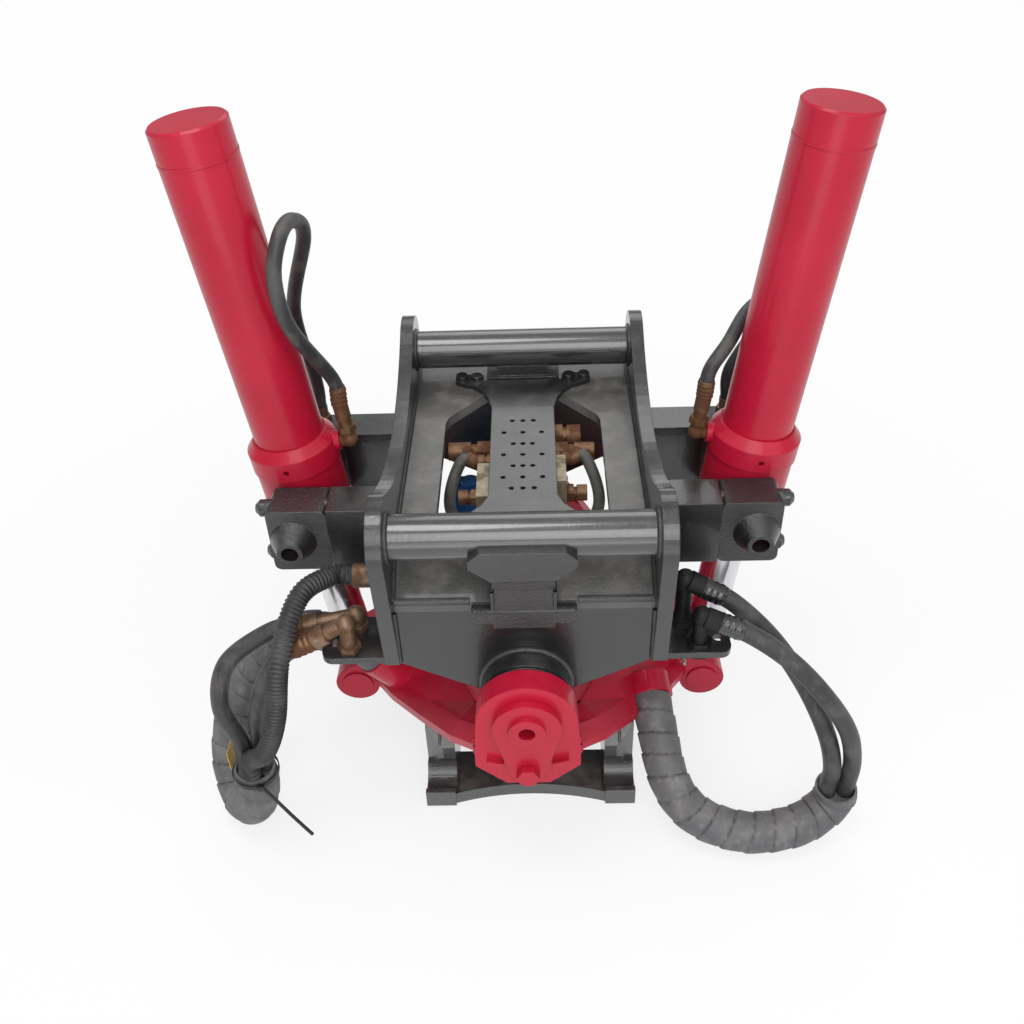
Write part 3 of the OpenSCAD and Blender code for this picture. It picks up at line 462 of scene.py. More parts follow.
CHROME = Metal(
    "chromed_rod", (0.78, 0.78, 0.8), (0.6, 0.6, 0.62), roughness=0.08, stained=0.0, lines=(1.0, 1.0, 0.05),
)
BRONZE = Metal("bronze", (0.55, 0.36, 0.16), (0.3, 0.2, 0.1), roughness=0.3, stained=0.3)
RUST = Metal(
    "rusty_fitting", (0.3, 0.19, 0.11), (0.13, 0.055, 0.025), roughness=0.45, stained=0.6, metallic=0.8,
)
FITTING = Metal(
    "frame_fitting", (0.34, 0.24, 0.16), (0.15, 0.075, 0.04), roughness=0.42, stained=0.5,
    metallic=0.7, black_right=True,
)
CAST = Metal("cast_valve", (0.5, 0.45, 0.33), (0.22, 0.18, 0.12), roughness=0.45, stained=0.4, metallic=0.7)
HOSE = Rubber("hose_rubber", (0.03, 0.03, 0.032), (0.15, 0.14, 0.13), roughness=0.4, scuffs=0.6)
BRAIDED = Rubber("braided_hose", (0.07, 0.07, 0.066), (0.2, 0.19, 0.17), roughness=0.5, scuffs=0.7)
WRAP = Rubber("spiral_wrap", (0.1, 0.098, 0.104), (0.26, 0.25, 0.25), roughness=0.48, scuffs=0.7)
RIBBED = Rubber("ribbed_conduit", (0.022, 0.022, 0.023), (0.13, 0.125, 0.12), roughness=0.42, scuffs=0.5)
TIE = Rubber("cable_tie", (0.01, 0.01, 0.01), (0.05, 0.05, 0.05), roughness=0.4, scuffs=0.3)
TAG = Rubber("yellow_tag", (0.66, 0.42, 0.02), (0.4, 0.25, 0.05), roughness=0.5, scuffs=0.4)


def dress(piece: Piece, material: Material) -> None:
    """Gives a piece one material all over."""
    piece.data.materials.clear()
    piece.data.materials.append(material)


def smooth(piece: Piece, angle: float) -> None:
    """Shades a piece smoothly across edges flatter than an angle in degrees."""
    select_only(piece)
    bpy.ops.object.shade_smooth_by_angle(angle=math.radians(angle))


def select_only(piece: Piece) -> None:
    """Selects one object and makes it active.

    Args:
        piece: The object.
    """
    bpy.ops.object.select_all(action="DESELECT")
    piece.select_set(True)
    bpy.context.view_layer.objects.active = piece


def settle(piece: Piece, name: str) -> Piece:
    """Names a piece and puts its place into its mesh.

    Args:
        piece: The piece.
        name: Its name.

    Returns:
        The same piece.
    """
    select_only(piece)
    bpy.ops.object.transform_apply(location=True, rotation=True, scale=True)
    piece.name = name
    piece.data.name = name
    return piece


def join(pieces: Sequence[Piece], name: str) -> Piece:
    """Joins pieces to one.

    Args:
        pieces: The pieces, all with their place in their mesh.
        name: The name of the joined piece.

    Returns:
        The joined piece.
    """
    select_only(pieces[0])
    for piece in pieces:
        piece.select_set(True)
    bpy.ops.object.join()
    pieces[0].name = name
    pieces[0].data.name = name
    return pieces[0]


def spline(points: Sequence[Vector], spacing: float) -> list[Vector]:
    """Smooth curve through points.

    Args:
        points: The points to pass.
        spacing: About the distance between the points returned.

    Returns:
        Points along the curve, from the first to the last given point.
    """
    ends = [points[0] * 2 - points[1], *points, points[-1] * 2 - points[-2]]
    line: list[Vector] = []
    for before, start, stop, after in zip(ends, ends[1:], ends[2:], ends[3:]):
        count = max(2, round((stop - start).length / spacing))
        for i in range(count):
            t = i / count
            line.append(
                0.5 * (2 * start + (stop - before) * t + (2 * before - 5 * start + 4 * stop - after) * t**2
                       + (3 * start - before - 3 * stop + after) * t**3)
            )
    return [*line, points[-1].copy()]


def run_length(line: Sequence[Vector]) -> list[float]:
    """Distance from the start at each point of a line."""
    return list(accumulate(((b - a).length for a, b in zip(line, line[1:])), initial=0.0))


def sweep(name: str, line: Sequence[Vector], radius: Callable[[float, float], float], sides: int) -> Piece:
    """Tube along a line.

    Args:
        name: The piece's name.
        line: Points of the centreline.
        radius: Radius at a distance along the line and a turn round it, 0 to 1.
        sides: Points round the tube.

    Returns:
        The tube, with closed ends.
    """
    run = run_length(line)
    verts: list[Vector] = []
    # No tube starts along this direction, so the first ring can be laid out from it
    across = Vector((0.31, 0.83, 0.46))
    for i, point in enumerate(line):
        heading = (line[min(i + 1, len(line) - 1)] - line[max(i - 1, 0)]).normalized()
        across = (across - heading * across.dot(heading)).normalized()
        over = heading.cross(across)
        for j in range(sides):
            turn = j / sides
            angle = math.tau * turn
            outward = across * math.cos(angle) + over * math.sin(angle)
            verts.append(point + outward * radius(run[i], turn))
    faces = [
        (i * sides + j, i * sides + (j + 1) % sides, (i + 1) * sides + (j + 1) % sides, (i + 1) * sides + j)
        for i in range(len(line) - 1) for j in range(sides)
    ]
    last = (len(line) - 1) * sides
    faces += [tuple(reversed(range(sides))), tuple(range(last, last + sides))]
    mesh = bpy.data.meshes.new(name)
    mesh.from_pydata(verts, [], faces)
    piece = bpy.data.objects.new(name, mesh)
    bpy.context.collection.objects.link(piece)
    smooth(piece, 60.0)
    return piece


class Cover(Enum):
    """What a hose looks like outside."""

    PLAIN = "plain"
    SPIRAL = "spiral"
    RIBS = "ribs"
    BRAID = "braid"


@dataclass
class Hose:
    """One hose along its route, with the bodies that carry its two ends; lengths in millimetres."""

    node: str
    route: list[Point]
    diameter: float
    start_body: str
    end_body: str
    cover: Cover = Cover.PLAIN
    pitch: float = 0.0
    spacing: float = 6.0
    sink: float = 0.0
    cup: float = 0.0
    sleeve: float = 0.0
    rib_depth: float = 2.2
    lap: float = 1.8
    groove_depth: float = 3.6
    groove_share: float = 0.06
    wrap_edge: float = 3.0
    sleeve_wall: float = 2.2
    sleeve_rings: int = 4
    ring_depth: float = 0.9
    rolled_from: float = 0.9
    rolled_depth: float = 2.0
    sides: int = 20
    wrap_sides: int = 40
    sleeve_sides: int = 24

    def radius(self, run: float, turn: float) -> float:
        """Radius of the hose's outside.

        Args:
            run: Distance along the hose in metres.
            turn: Turn round it, 0 to 1.

        Returns:
            The radius in metres.
        """
        full = self.diameter * MM / 2
        if self.cover is Cover.RIBS:
            wave = 0.5 - 0.5 * math.cos(math.tau * run / (self.pitch * MM))
            return full - self.rib_depth * MM * wave
        if self.cover is Cover.SPIRAL:
            phase = (run / (self.pitch * MM) + turn) % 1.0
            groove = max(0.0, 1.0 - min(phase, 1.0 - phase) / self.groove_share)
            return full - (self.lap * (1.0 - phase) + self.groove_depth * groove) * MM
        return full

    def points(self) -> list[Vector]:
        """The route's points in metres."""
        return [Vector(p) * MM for p in self.route]

    def centreline(self) -> list[Vector]:
        """Runs a curve along the route.

        Returns:
            Points in metres, with the stretch that is sunk into a bundle's mouth.
        """
        points = self.points()
        line = spline(points, self.spacing * MM)
        if self.sink:
            line.append(line[-1] + (points[-1] - points[-2]).normalized() * self.sink * MM)
        return line

    def hollow(self, piece: Piece, line: Sequence[Vector]) -> None:
        """Sinks the cap at the start of a bundle, so that its mouth shows the wrap's edge.

        Args:
            piece: The bundle.
            line: Its centreline.
        """
        select_only(piece)
        bpy.ops.object.mode_set(mode="EDIT")
        bpy.ops.mesh.select_mode(type="FACE")
        bpy.ops.mesh.select_all(action="DESELECT")
        bpy.ops.object.mode_set(mode="OBJECT")
        for face in piece.data.polygons:
            face.select = (face.center - line[0]).length < MM
        bpy.ops.object.mode_set(mode="EDIT")
        bpy.ops.mesh.inset(thickness=self.wrap_edge * MM)
        bpy.ops.mesh.extrude_region_move(
            TRANSFORM_OT_translate={"value": (line[1] - line[0]).normalized() * self.cup * MM})
        bpy.ops.object.mode_set(mode="OBJECT")

    def crimped(self, run: float, turn: float) -> float:
        """Radius of the sleeve with its pressed rings and rolled end.

        Args:
            run: Distance along the sleeve in metres.
            turn: Turn round it, which changes nothing.

        Returns:
            The radius in metres.
        """
        share = run / (self.sleeve * MM)
        ring = self.ring_depth * (0.5 - 0.5 * math.cos(math.tau * self.sleeve_rings * share))
        rolled = self.rolled_depth * max(0.0, share - self.rolled_from) / (1.0 - self.rolled_from)
        return (self.diameter / 2 + self.sleeve_wall - ring - rolled) * MM

    def ferrule(self, material: Material) -> Piece:
        """Crimped sleeve over the hose's first stretch.

        Args:
            material: The sleeve's finish.

        Returns:
            The sleeve.
        """
        dense = spline(self.points(), MM)
        path = [p for p, run in zip(dense, run_length(dense)) if run < self.sleeve * MM]
        sleeve = sweep(f"{self.node}_ferrule", path, self.crimped, self.sleeve_sides)
        dress(sleeve, material)
        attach(sleeve, self.start_body)
        return sleeve

    def build(self, material: Material, metal: Material) -> None:
        """Args:
            material: The hose's finish.
            metal: The finish of its ferrule.
        """
        line = self.centreline()
        sides = self.wrap_sides if self.cover is Cover.SPIRAL else self.sides
        piece = sweep(f"{self.node}_tube", line, self.radius, sides)
        if self.cup:
            self.hollow(piece, line)
        dress(piece, material)
        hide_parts(self.node)
        if self.start_body == self.end_body:
            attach(piece, self.start_body)
        else:
            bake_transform(piece)
        length = run_length(line)[-1]
        extras = [self.ferrule(metal)] if self.sleeve else []
        self.diameter * MM
        LOG.info("hose %s, %.0f mm long", self.node, length / MM)


@dataclass
class HoseSet:
    """All hoses, with their routes in millimetres as the solids have them."""

    lean: float = math.radians(6.5)
    trunnion: Pair = (323.646, 449.42)
    block_top: float = 500.92
    port_reach: float = 84.0
    port_rise: Pair = (140.0, 180.0)
    hose_d: float = 26.0
    conduit_d: float = 30.0
    bundle_d: float = 62.0
    small_d: float = 20.0
    valve_d: float = 18.0
    sink: float = 10.0
    sleeve: float = 34.0
    cup: float = 12.0
    wrap_pitch: float = 31.0
    rib_pitch: float = 6.0
    wrap_spacing: float = 2.0
    rib_spacing: float = 1.0
    barrel_sleeve: float = 26.0
    valve_sleeve: float = 16.0
    block_rise: Pair = (72.0, 26.0)

    def on_barrel(self, side: Side, up: float, inward: float) -> Point:
        """Point on a tilt cylinder's port, from its trunnion.

        Args:
            side: Which cylinder.
            up: Distance along the barrel.
            inward: Distance from the barrel's axis to the middle of the machine.

        Returns:
            The point in millimetres.
        """
        x = self.trunnion[0] - inward * math.cos(self.lean) + up * math.sin(self.lean)
        z = self.trunnion[1] + inward * math.sin(self.lean) + up * math.cos(self.lean)
        return (side.value * x, 0.0, z)

    def front_hose(self, node: str, route: list[Point]) -> Hose:
        """Hose from the frame into a bundle's mouth."""
        return Hose(node, route, self.hose_d, "frame", "housing", sink=self.sink, sleeve=self.sleeve)

    def bundle(self, node: str, route: list[Point]) -> Hose:
        """Wrapped bundle that the housing carries."""
        wrap = {"cover": Cover.SPIRAL, "pitch": self.wrap_pitch, "spacing": self.wrap_spacing}
        return Hose(node, route, self.bundle_d, "housing", "housing", **wrap, cup=self.cup)

    def right_side(self) -> list[Hose]:
        """Lists the front hoses on the right with their bundle.

        Returns:
            The hoses, not yet modelled.
        """
        upper = [
            (239, -206, 424), (282, -215, 402), (337, -233, 350), (384, -257, 284), (421, -276, 206),
            (438.5, -282, 140), (438.5, -282, 92)]
        lower = [
            (259, -250, 399), (300, -261, 386), (354, -279, 352), (404, -295, 298), (445, -292, 226),
            (465.5, -282, 150), (465.5, -282, 92)]
        wrapped = [
            (452, -282, 92), (452, -282, 68), (428, -293, 43), (386, -311, 36), (318, -318, 35),
            (250, -298, 48), (209, -266, 90), (192.65, -195.2, 140.05), (188, -158, 154)]
        return [
            self.front_hose("right_hose_upper", upper),
            self.front_hose("right_hose_lower", lower),
            self.bundle("right_bundle", wrapped),
        ]

    def left_side(self) -> list[Hose]:
        """Lists the front hoses and the conduit on the left with their bundle.

        Returns:
            The hoses, not yet modelled.
        """
        outer = [
            (-306, -212, 372), (-352, -220, 368), (-415, -242, 330), (-433, -260, 262),
            (-416, -265.5, 196), (-416, -265.5, 150)]
        inner = [
            (-286, -250, 380), (-330, -259, 360), (-366, -264, 302), (-384, -265, 244),
            (-388, -265.5, 192), (-388, -265.5, 150)]
        ribbed = [
            (-236, -170, 424), (-266, -170, 424), (-304, -214, 426), (-326, -284, 380), (-343, -306, 286),
            (-368, -308, 220), (-402, -290.5, 178), (-402, -290.5, 150)]
        wrapped = [
            (-402, -275, 150), (-402, -275, 112), (-418, -274, 60), (-448, -244, 44), (-465, -196, 92),
            (-444, -158, 172), (-396, -130, 240), (-335, -112, 266), (-271.55, -100.64, 234.19),
            (-240, -94, 196)]
        ribs = {"cover": Cover.RIBS, "pitch": self.rib_pitch, "spacing": self.rib_spacing, "sink": self.sink}
        return [
            self.front_hose("left_hose_outer", outer),
            self.front_hose("left_hose_inner", inner),
            Hose("left_conduit", ribbed, self.conduit_d, "frame", "housing", **ribs),
            self.bundle("left_bundle", wrapped),
        ]

    def barrel_hoses(self) -> list[Hose]:
        """Lists the hoses of the tilt cylinders.

        Returns:
            The hoses, not yet modelled.
        """
        port = {side: [self.on_barrel(side, up, self.port_reach) for up in self.port_rise] for side in Side}
        high, end = (self.block_top + rise for rise in self.block_rise)
        left = [
            *port[Side.LEFT], (-295, -45, 740), (-303, -50, 811), (-292, -30, 859), (-283, 10, 863),
            (-279, 45, 827), (-321, 95, 696), (-310, 108, high), (-310, 108, end)]
        right = [
            *port[Side.RIGHT], (285, 18, 668), (313, 60, 690), (338, 94, 688), (340, 112, 636),
            (310, 108, high), (310, 108, end)]
        both = {"diameter": self.small_d, "end_body": "frame", "sleeve": self.barrel_sleeve}
        return [
            Hose("barrel_hose_left", left, start_body="barrel_left", **both),
            Hose("barrel_hose_right", right, start_body="barrel_right", **both),
        ]

    def valve_hoses(self) -> list[Hose]:
        """Lists the hoses from the valve block to the oil swivel.

        Returns:
            The hoses, not yet modelled.
        """
        made = []
        for side, y in ((Side.LEFT, 32), (Side.RIGHT, 36)):
            s = side.value
            route = [
                (s * 70, y, 470), (s * 94, y, 470), (s * 112, -2, 408), (s * 64, -32, 346), (s * 30, 0, 318),
                (s * 30, 0, 292)]
            name = f"valve_hose_{side.name.lower()}"
            look = {"cover": Cover.BRAID, "sleeve": self.valve_sleeve}
            made.append(Hose(name, route, self.valve_d, "frame", "housing", **look))
        return made

    def build(self) -> None:
        """Models every hose."""
        finish = {
            Cover.PLAIN: HOSE.material(), Cover.SPIRAL: WRAP.material(), Cover.RIBS: RIBBED.material(),
            Cover.BRAID: BRAIDED.material()}
        rusty = RUST.material()
        painted = BLACK.material()
        for hose in self.right_side() + self.left_side() + self.barrel_hoses() + self.valve_hoses():
            front_right = hose.node.startswith("right")
            hose.build(finish[hose.cover], painted if front_right else rusty)


@dataclass
class Welds:
    """Rippled weld beads, joined to one piece for each body; lengths in millimetres."""

    bead: float = 3.6
    wide: float = 4.5
    thin: float = 2.6
    ripple: float = 5.0
    swell: float = 1.2
    ring_swell: float = 0.7
    plate_in: float = 170.0
    plate_out: float = 190.0
    plate_end: float = 262.0
    deck: float = 500.0
    apron: float = 457.0
    column: float = 40.0
    base: float = 56.0
    pin_y: float = 240.0
    pin_z: float = 547.0
    pin_r: float = 30.0
    arm_y: Pair = (67.0, 123.0)
    arm_z: Pair = (398.0, 499.5)
    tilt_z: float = 306.0
    tube_r: float = 61.0
    lug_x: float = 72.0
    drum_top: float = 226.0
    drum_r: float = 86.5
    claw_x: float = 116.0
    claw_out: float = 139.0
    web_y: float = -105.0
    web_top: float = 117.0
    floor_top: float = 23.5
    made: list[Piece] = field(default_factory=list)

    def line(self, start: Point, stop: Point, bead: float = 0.0) -> None:
        """Lays a straight bead.

        Args:
            start: First point.
            stop: Last point.
            bead: Radius of the bead, or 0 for the usual one.
        """
        first, last = Vector(start) * MM, Vector(stop) * MM
        count = max(2, round((last - first).length / (self.ripple * MM)))
        step = (last - first).length / count
        bpy.ops.mesh.primitive_cylinder_add(
            vertices=10, radius=(bead or self.bead) * MM, depth=step, end_fill_type="NOTHING")
        piece = bpy.context.active_object
        bpy.ops.object.mode_set(mode="EDIT")
        bpy.ops.mesh.select_all(action="SELECT")
        bpy.ops.mesh.bisect(plane_co=(0.0, 0.0, step * 0.2), plane_no=(0.0, 0.0, 1.0))
        bpy.ops.transform.resize(value=(self.swell, self.swell, 1.0))
        bpy.ops.object.mode_set(mode="OBJECT")
        row = piece.modifiers.new("row", "ARRAY")
        row.count = count
        row.use_relative_offset = False
        row.use_constant_offset = True
        row.constant_offset_displace = (0.0, 0.0, step)
        row.use_merge_vertices = True
        row.merge_threshold = 0.1 * MM
        bpy.ops.object.modifier_apply(modifier=row.name)
        self.close()
        heading = (last - first).normalized()
        piece.rotation_mode = "QUATERNION"
        piece.rotation_quaternion = heading.to_track_quat("Z", "Y")
        piece.location = first + heading * step / 2
        self.made.append(settle(piece, "bead"))

    def close(self) -> None:
        """Closes the open ends of the active bead."""
        bpy.ops.object.mode_set(mode="EDIT")
        bpy.ops.mesh.select_all(action="DESELECT")
        bpy.ops.mesh.select_mode(type="EDGE")
        bpy.ops.mesh.select_non_manifold()
        bpy.ops.mesh.fill()
        bpy.ops.mesh.select_all(action="SELECT")
        bpy.ops.mesh.normals_make_consistent(inside=False)
        bpy.ops.object.mode_set(mode="OBJECT")

    def ring(self, centre: Point, axis: Point, radius: float, bead: float = 0.0) -> None:
        """Lays a bead round a pin or tube.

        Args:
            centre: Middle of the ring.
            axis: Direction of the pin.
            radius: Radius of the ring.
            bead: Radius of the bead, or 0 for the usual one.
        """
        count = 2 * max(8, round(math.tau * radius / self.ripple))
        sides = 8
        bpy.ops.mesh.primitive_torus_add(
            major_radius=radius * MM, minor_radius=(bead or self.bead) * MM, major_segments=count,
            minor_segments=sides)
        piece = bpy.context.active_object
        for vertex in piece.data.vertices:
            vertex.select = (vertex.index // sides) % 2 == 0
        bpy.ops.object.mode_set(mode="EDIT")
        bpy.ops.mesh.select_mode(type="VERT")
        bpy.ops.transform.shrink_fatten(value=self.ring_swell * MM)
        bpy.ops.object.mode_set(mode="OBJECT")
        piece.rotation_mode = "QUATERNION"
        piece.rotation_quaternion = Vector(axis).to_track_quat("Z", "Y")
        piece.location = Vector(centre) * MM
        self.made.append(settle(piece, "bead"))

    def finish(self, name: str, body: str, slot: str, material: Material) -> None:
        """Joins the beads laid since the last call to one piece.

        Args:
            name: The piece's name.
            body: The body that it rides on.
            slot: The record's material slot; not used.
            material: Its finish.
        """
        piece = join(self.made, name)
        self.made = []
        smooth(piece, 50.0)
        dress(piece, material)
        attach(piece, body)
        LOG.info("welds %s", name)

    def deck_welds(self) -> None:
        """Beads along the deck and its front apron, and round the foot of the front pin support."""
        front = -self.plate_end
        for left, right in ((-168, -70), (70, 168)):
            self.line((left, front, self.apron), (right, front, self.apron), self.wide)
        self.line((-66, -276, 451), (66, -276, 451), self.thin)
        for s in (-1, 1):
            x = s * self.plate_in
            bend = (x, -185, self.deck)
            self.line((x, front, self.apron - 1), bend)
            self.line(bend, (x, self.plate_end, self.deck))
            self.line((x, front, 348), (x, front, 438))
            x = s * self.column
            self.line((x, -275, 448), (x, -280, 488), self.thin)
            self.line((x, -246, self.deck), (x, -278, 486), 2.4)
            x = s * self.base
            self.line((x, 214, self.deck), (x, 260, self.deck), self.thin)

    def frame_welds(self) -> None:
        """Beads on the tilting frame: deck, pins, trunnion arms and tilt bearings."""
        self.deck_welds()
        along = (1, 0, 0)
        (near, far), (low, high) = self.arm_y, self.arm_z
        for s in (-1, 1):
            out = s * self.plate_out
            for end in (-1, 1):
                self.ring((s * self.plate_in, end * self.pin_y, self.pin_z), along, self.pin_r + 0.5)
                self.ring((out, end * self.pin_y, self.pin_z), along, self.pin_r, 2.2)
                for z in self.arm_z:
                    self.line((out, end * (near + 1), z), (out, end * (far - 1), z))
                for y in self.arm_y:
                    self.line((out, end * y, low + 2), (out, end * y, high - 1.5))
        for end in (-1, 1):
            self.ring((0, end * self.plate_end, self.tilt_z), (0, 1, 0), self.tube_r, self.wide)
        self.finish("frame_welds", "frame", "black_paint", ROUGH_BLACK.material())

    def housing_welds(self) -> None:
        """Beads on the red housing: wing roots at the lugs and the rim of the drum."""
        root = ((312, 218), (311, 233), (304, 240))
        for s in (-1, 1):
            x = s * self.lug_x
            for end in (-1, 1):
                for (y1, z1), (y2, z2) in zip(root, root[1:]):
                    self.line((x, end * y1, z1), (x, end * y2, z2), 4.0)
        self.ring((0, 0, self.drum_top), (0, 0, 1), self.drum_r, 3.0)
        self.finish("housing_welds", "housing", "red_paint", RED.material())

    def coupler_welds(self) -> None:
        """Beads on the coupler: claws on the floor plate and the cross web."""
        y = self.web_y
        for s in (-1, 1):
            x = s * self.claw_x
            self.line((x, -232, self.floor_top), (x, -152, self.floor_top))
            self.line((x, y, 30), (x, y, self.web_top - 1))
            x = s * self.claw_out
            self.line((x, -196, 95), (x, -176, self.web_top), 2.4)
        half = self.claw_x - 2
        self.line((-half, y, self.web_top), (half, y, self.web_top))
        self.finish("coupler_welds", "coupler", "black_paint", DUSTY_BLACK.material())

    def build(self) -> None:
        """Lays all beads."""
        self.frame_welds()
        self.housing_welds()
        self.coupler_welds()


@dataclass
class SmallPieces:
    """Cable tie, tag and grease nipples; lengths in millimetres, places of tie and tag from the mouth."""

    mouth: Point = (-402.0, -275.0, 141.0)
    tie_r: float = 32.6
    tie_width: float = 7.5
    tie_wall: float = 1.6
    lock_place: Point = (14.0, -33.0, 0.0)
    lock_size: Point = (11.0, 8.0, 9.0)
    lock_edge: float = 1.2
    tail: tuple[Point, ...] = ((18, -35, 0), (34, -43, -14), (58, -53, -42), (82, -59, -76))
    tail_r: float = 2.6
    tag_place: Point = (-36.0, 12.0, 20.0)
    tag_size: Point = (1.6, 26.0, 34.0)
    tag_edge: float = 0.5
    nipples: tuple[Point, ...] = ((-248.0, -76.0, 152.0), (248.0, -76.0, 152.0))
    nipple_r: float = 4.5
    nipple_steps: tuple[Pair, ...] = (
        (4.0, 1.0), (0.4, 0.62), (3.5, 1.0), (0.8, 1.3), (2.0, 1.0), (1.2, 0.5))

    def from_mouth(self, offset: Point) -> Vector:
        """Point at an offset from the left bundle's mouth, in metres."""
        return (Vector(self.mouth) + Vector(offset)) * MM

    def tie(self) -> None:
        """Cable tie round the left bundle's mouth, with its lock and its long tail."""
        bpy.ops.mesh.primitive_cylinder_add(
            vertices=48, radius=self.tie_r * MM, depth=self.tie_width * MM, end_fill_type="NOTHING")
        band = bpy.context.active_object
        wall = band.modifiers.new("wall", "SOLIDIFY")
        wall.thickness = self.tie_wall * MM
        wall.offset = 1.0
        bpy.ops.object.modifier_apply(modifier=wall.name)
        band.location = Vector(self.mouth) * MM
        settle(band, "cable_tie")
        lock = self.block(self.lock_place, self.lock_size, self.lock_edge)
        path = spline([self.from_mouth(p) for p in self.tail], 4.0 * MM)
        tail = sweep("tie_tail", path, lambda run, turn: self.tail_r * MM, 8)
        piece = join([band, lock, tail], "cable_tie")
        smooth(piece, 35.0)
        dress(piece, TIE.material())
        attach(piece, "housing")
        LOG.info("cable tie")

    def block(self, offset: Point, size: Point, edge: float) -> Piece:
        """Small block with rounded edges.

        Args:
            offset: Its middle, from the left bundle's mouth.
            size: Its lengths.
            edge: Radius of its edges.

        Returns:
            The block.
        """
        bpy.ops.mesh.primitive_cube_add(size=1.0, location=self.from_mouth(offset), scale=Vector(size) * MM)
        piece = settle(bpy.context.active_object, "block")
        bpy.ops.object.mode_set(mode="EDIT")
        bpy.ops.mesh.select_all(action="SELECT")
        bpy.ops.mesh.bevel(offset=edge * MM, segments=3)
        bpy.ops.object.mode_set(mode="OBJECT")
        return piece

    def tag(self) -> None:
        """Bare yellow tag that hangs on the cable tie."""
        piece = self.block(self.tag_place, self.tag_size, self.tag_edge)
        piece.name = "hose_tag"
        dress(piece, TAG.material())
        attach(piece, "housing")
        LOG.info("tag")

    def nipple(self, place: Point) -> Piece:
        """Grease nipple: a foot with a neck and a ball-like tip, drawn out step by step.

        Args:
            place: Its foot, on a face that looks to the front.

        Returns:
            The nipple.
        """
        bpy.ops.mesh.primitive_circle_add(vertices=12, radius=self.nipple_r * MM, fill_type="NGON")
        piece = bpy.context.active_object
        bpy.ops.object.mode_set(mode="EDIT")
        bpy.ops.mesh.select_all(action="SELECT")
        for rise, scale in self.nipple_steps:
            bpy.ops.mesh.extrude_region_move(TRANSFORM_OT_translate={"value": (0.0, 0.0, rise * MM)})
            bpy.ops.transform.resize(value=(scale, scale, 1.0))
        bpy.ops.mesh.select_all(action="SELECT")
        bpy.ops.mesh.normals_make_consistent(inside=False)
        bpy.ops.object.mode_set(mode="OBJECT")
        piece.rotation_euler = (math.radians(90.0), 0.0, 0.0)
        piece.location = Vector(place) * MM
        return settle(piece, "nipple")

    def build(self) -> None:
        """Models all small pieces."""
        self.tie()
        self.tag()
        piece = join([self.nipple(place) for place in self.nipples], "grease_nipples")
        dress(piece, STEEL.material())
        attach(piece, "housing")
        LOG.info("grease nipples")


@dataclass
class CadFinishes:
    """Finishes of the CAD nodes that show as they are."""

    finishes: dict[str, Finish] = field(default_factory=lambda: {
        "red_paint": RED, "black_paint": BLACK, "bare_steel": STEEL, "chromed_rod": CHROME,
        "bronze": BRONZE, "blue_paint": BLUE, "rusty_fitting": RUST, "cast_valve": CAST,
        "rubber_hose": HOSE, "conduit": RIBBED})
    special: dict[str, Finish] = field(default_factory=lambda: {
        "frame_fittings": FITTING, "coupler_frame": DUSTY_BLACK, "lock_cylinder": DUSTY_BLACK,
        # The deck plate's pale dusty finish is partly a painted reflection of the sky
        "deck_plate": DECK_DUST_AND_SHEEN, "trunnion_blocks": ROUGH_BLACK, "pin_supports": ROUGH_BLACK,
        "front_hitch_pin": TURNED_BLACK, "rear_hitch_pin": TURNED_BLACK})

    def apply(self, frame: dict[str, Any]) -> None:
        """Dresses every CAD node by its material slot.
        """
        made = {slot: finish.material() for slot, finish in self.finishes.items()}
        own = {node: finish.material() for node, finish in self.special.items()}
        for part in frame["record"]["subparts"]:
            node = part["node"]
            dress(frame["nodes"][node], own.get(node, made[part["material_slot"]]))
        smooth(frame["nodes"]["rotor_housing"], 50.0)
        LOG.info("dressed %d nodes", len(frame["nodes"]))


@dataclass(frozen=True)
class Lamp:
    """Square lamp that looks at the middle of the part; lengths in metres, power in watts."""

    name: str
    place: Point
    size: float
    power: float
    target: Point = (0.0, 0.0, 0.4)

    def build(self) -> None:
        """Adds the lamp to the scene."""
        data = bpy.data.lights.new(self.name, "AREA")
        data.energy = self.power
        data.size = self.size
        lamp = bpy.data.objects.new(self.name, data)
        bpy.context.collection.objects.link(lamp)
        lamp.location = self.place
        aim = Vector(self.target) - Vector(self.place)
        lamp.rotation_euler = aim.to_track_quat("-Z", "Y").to_euler()


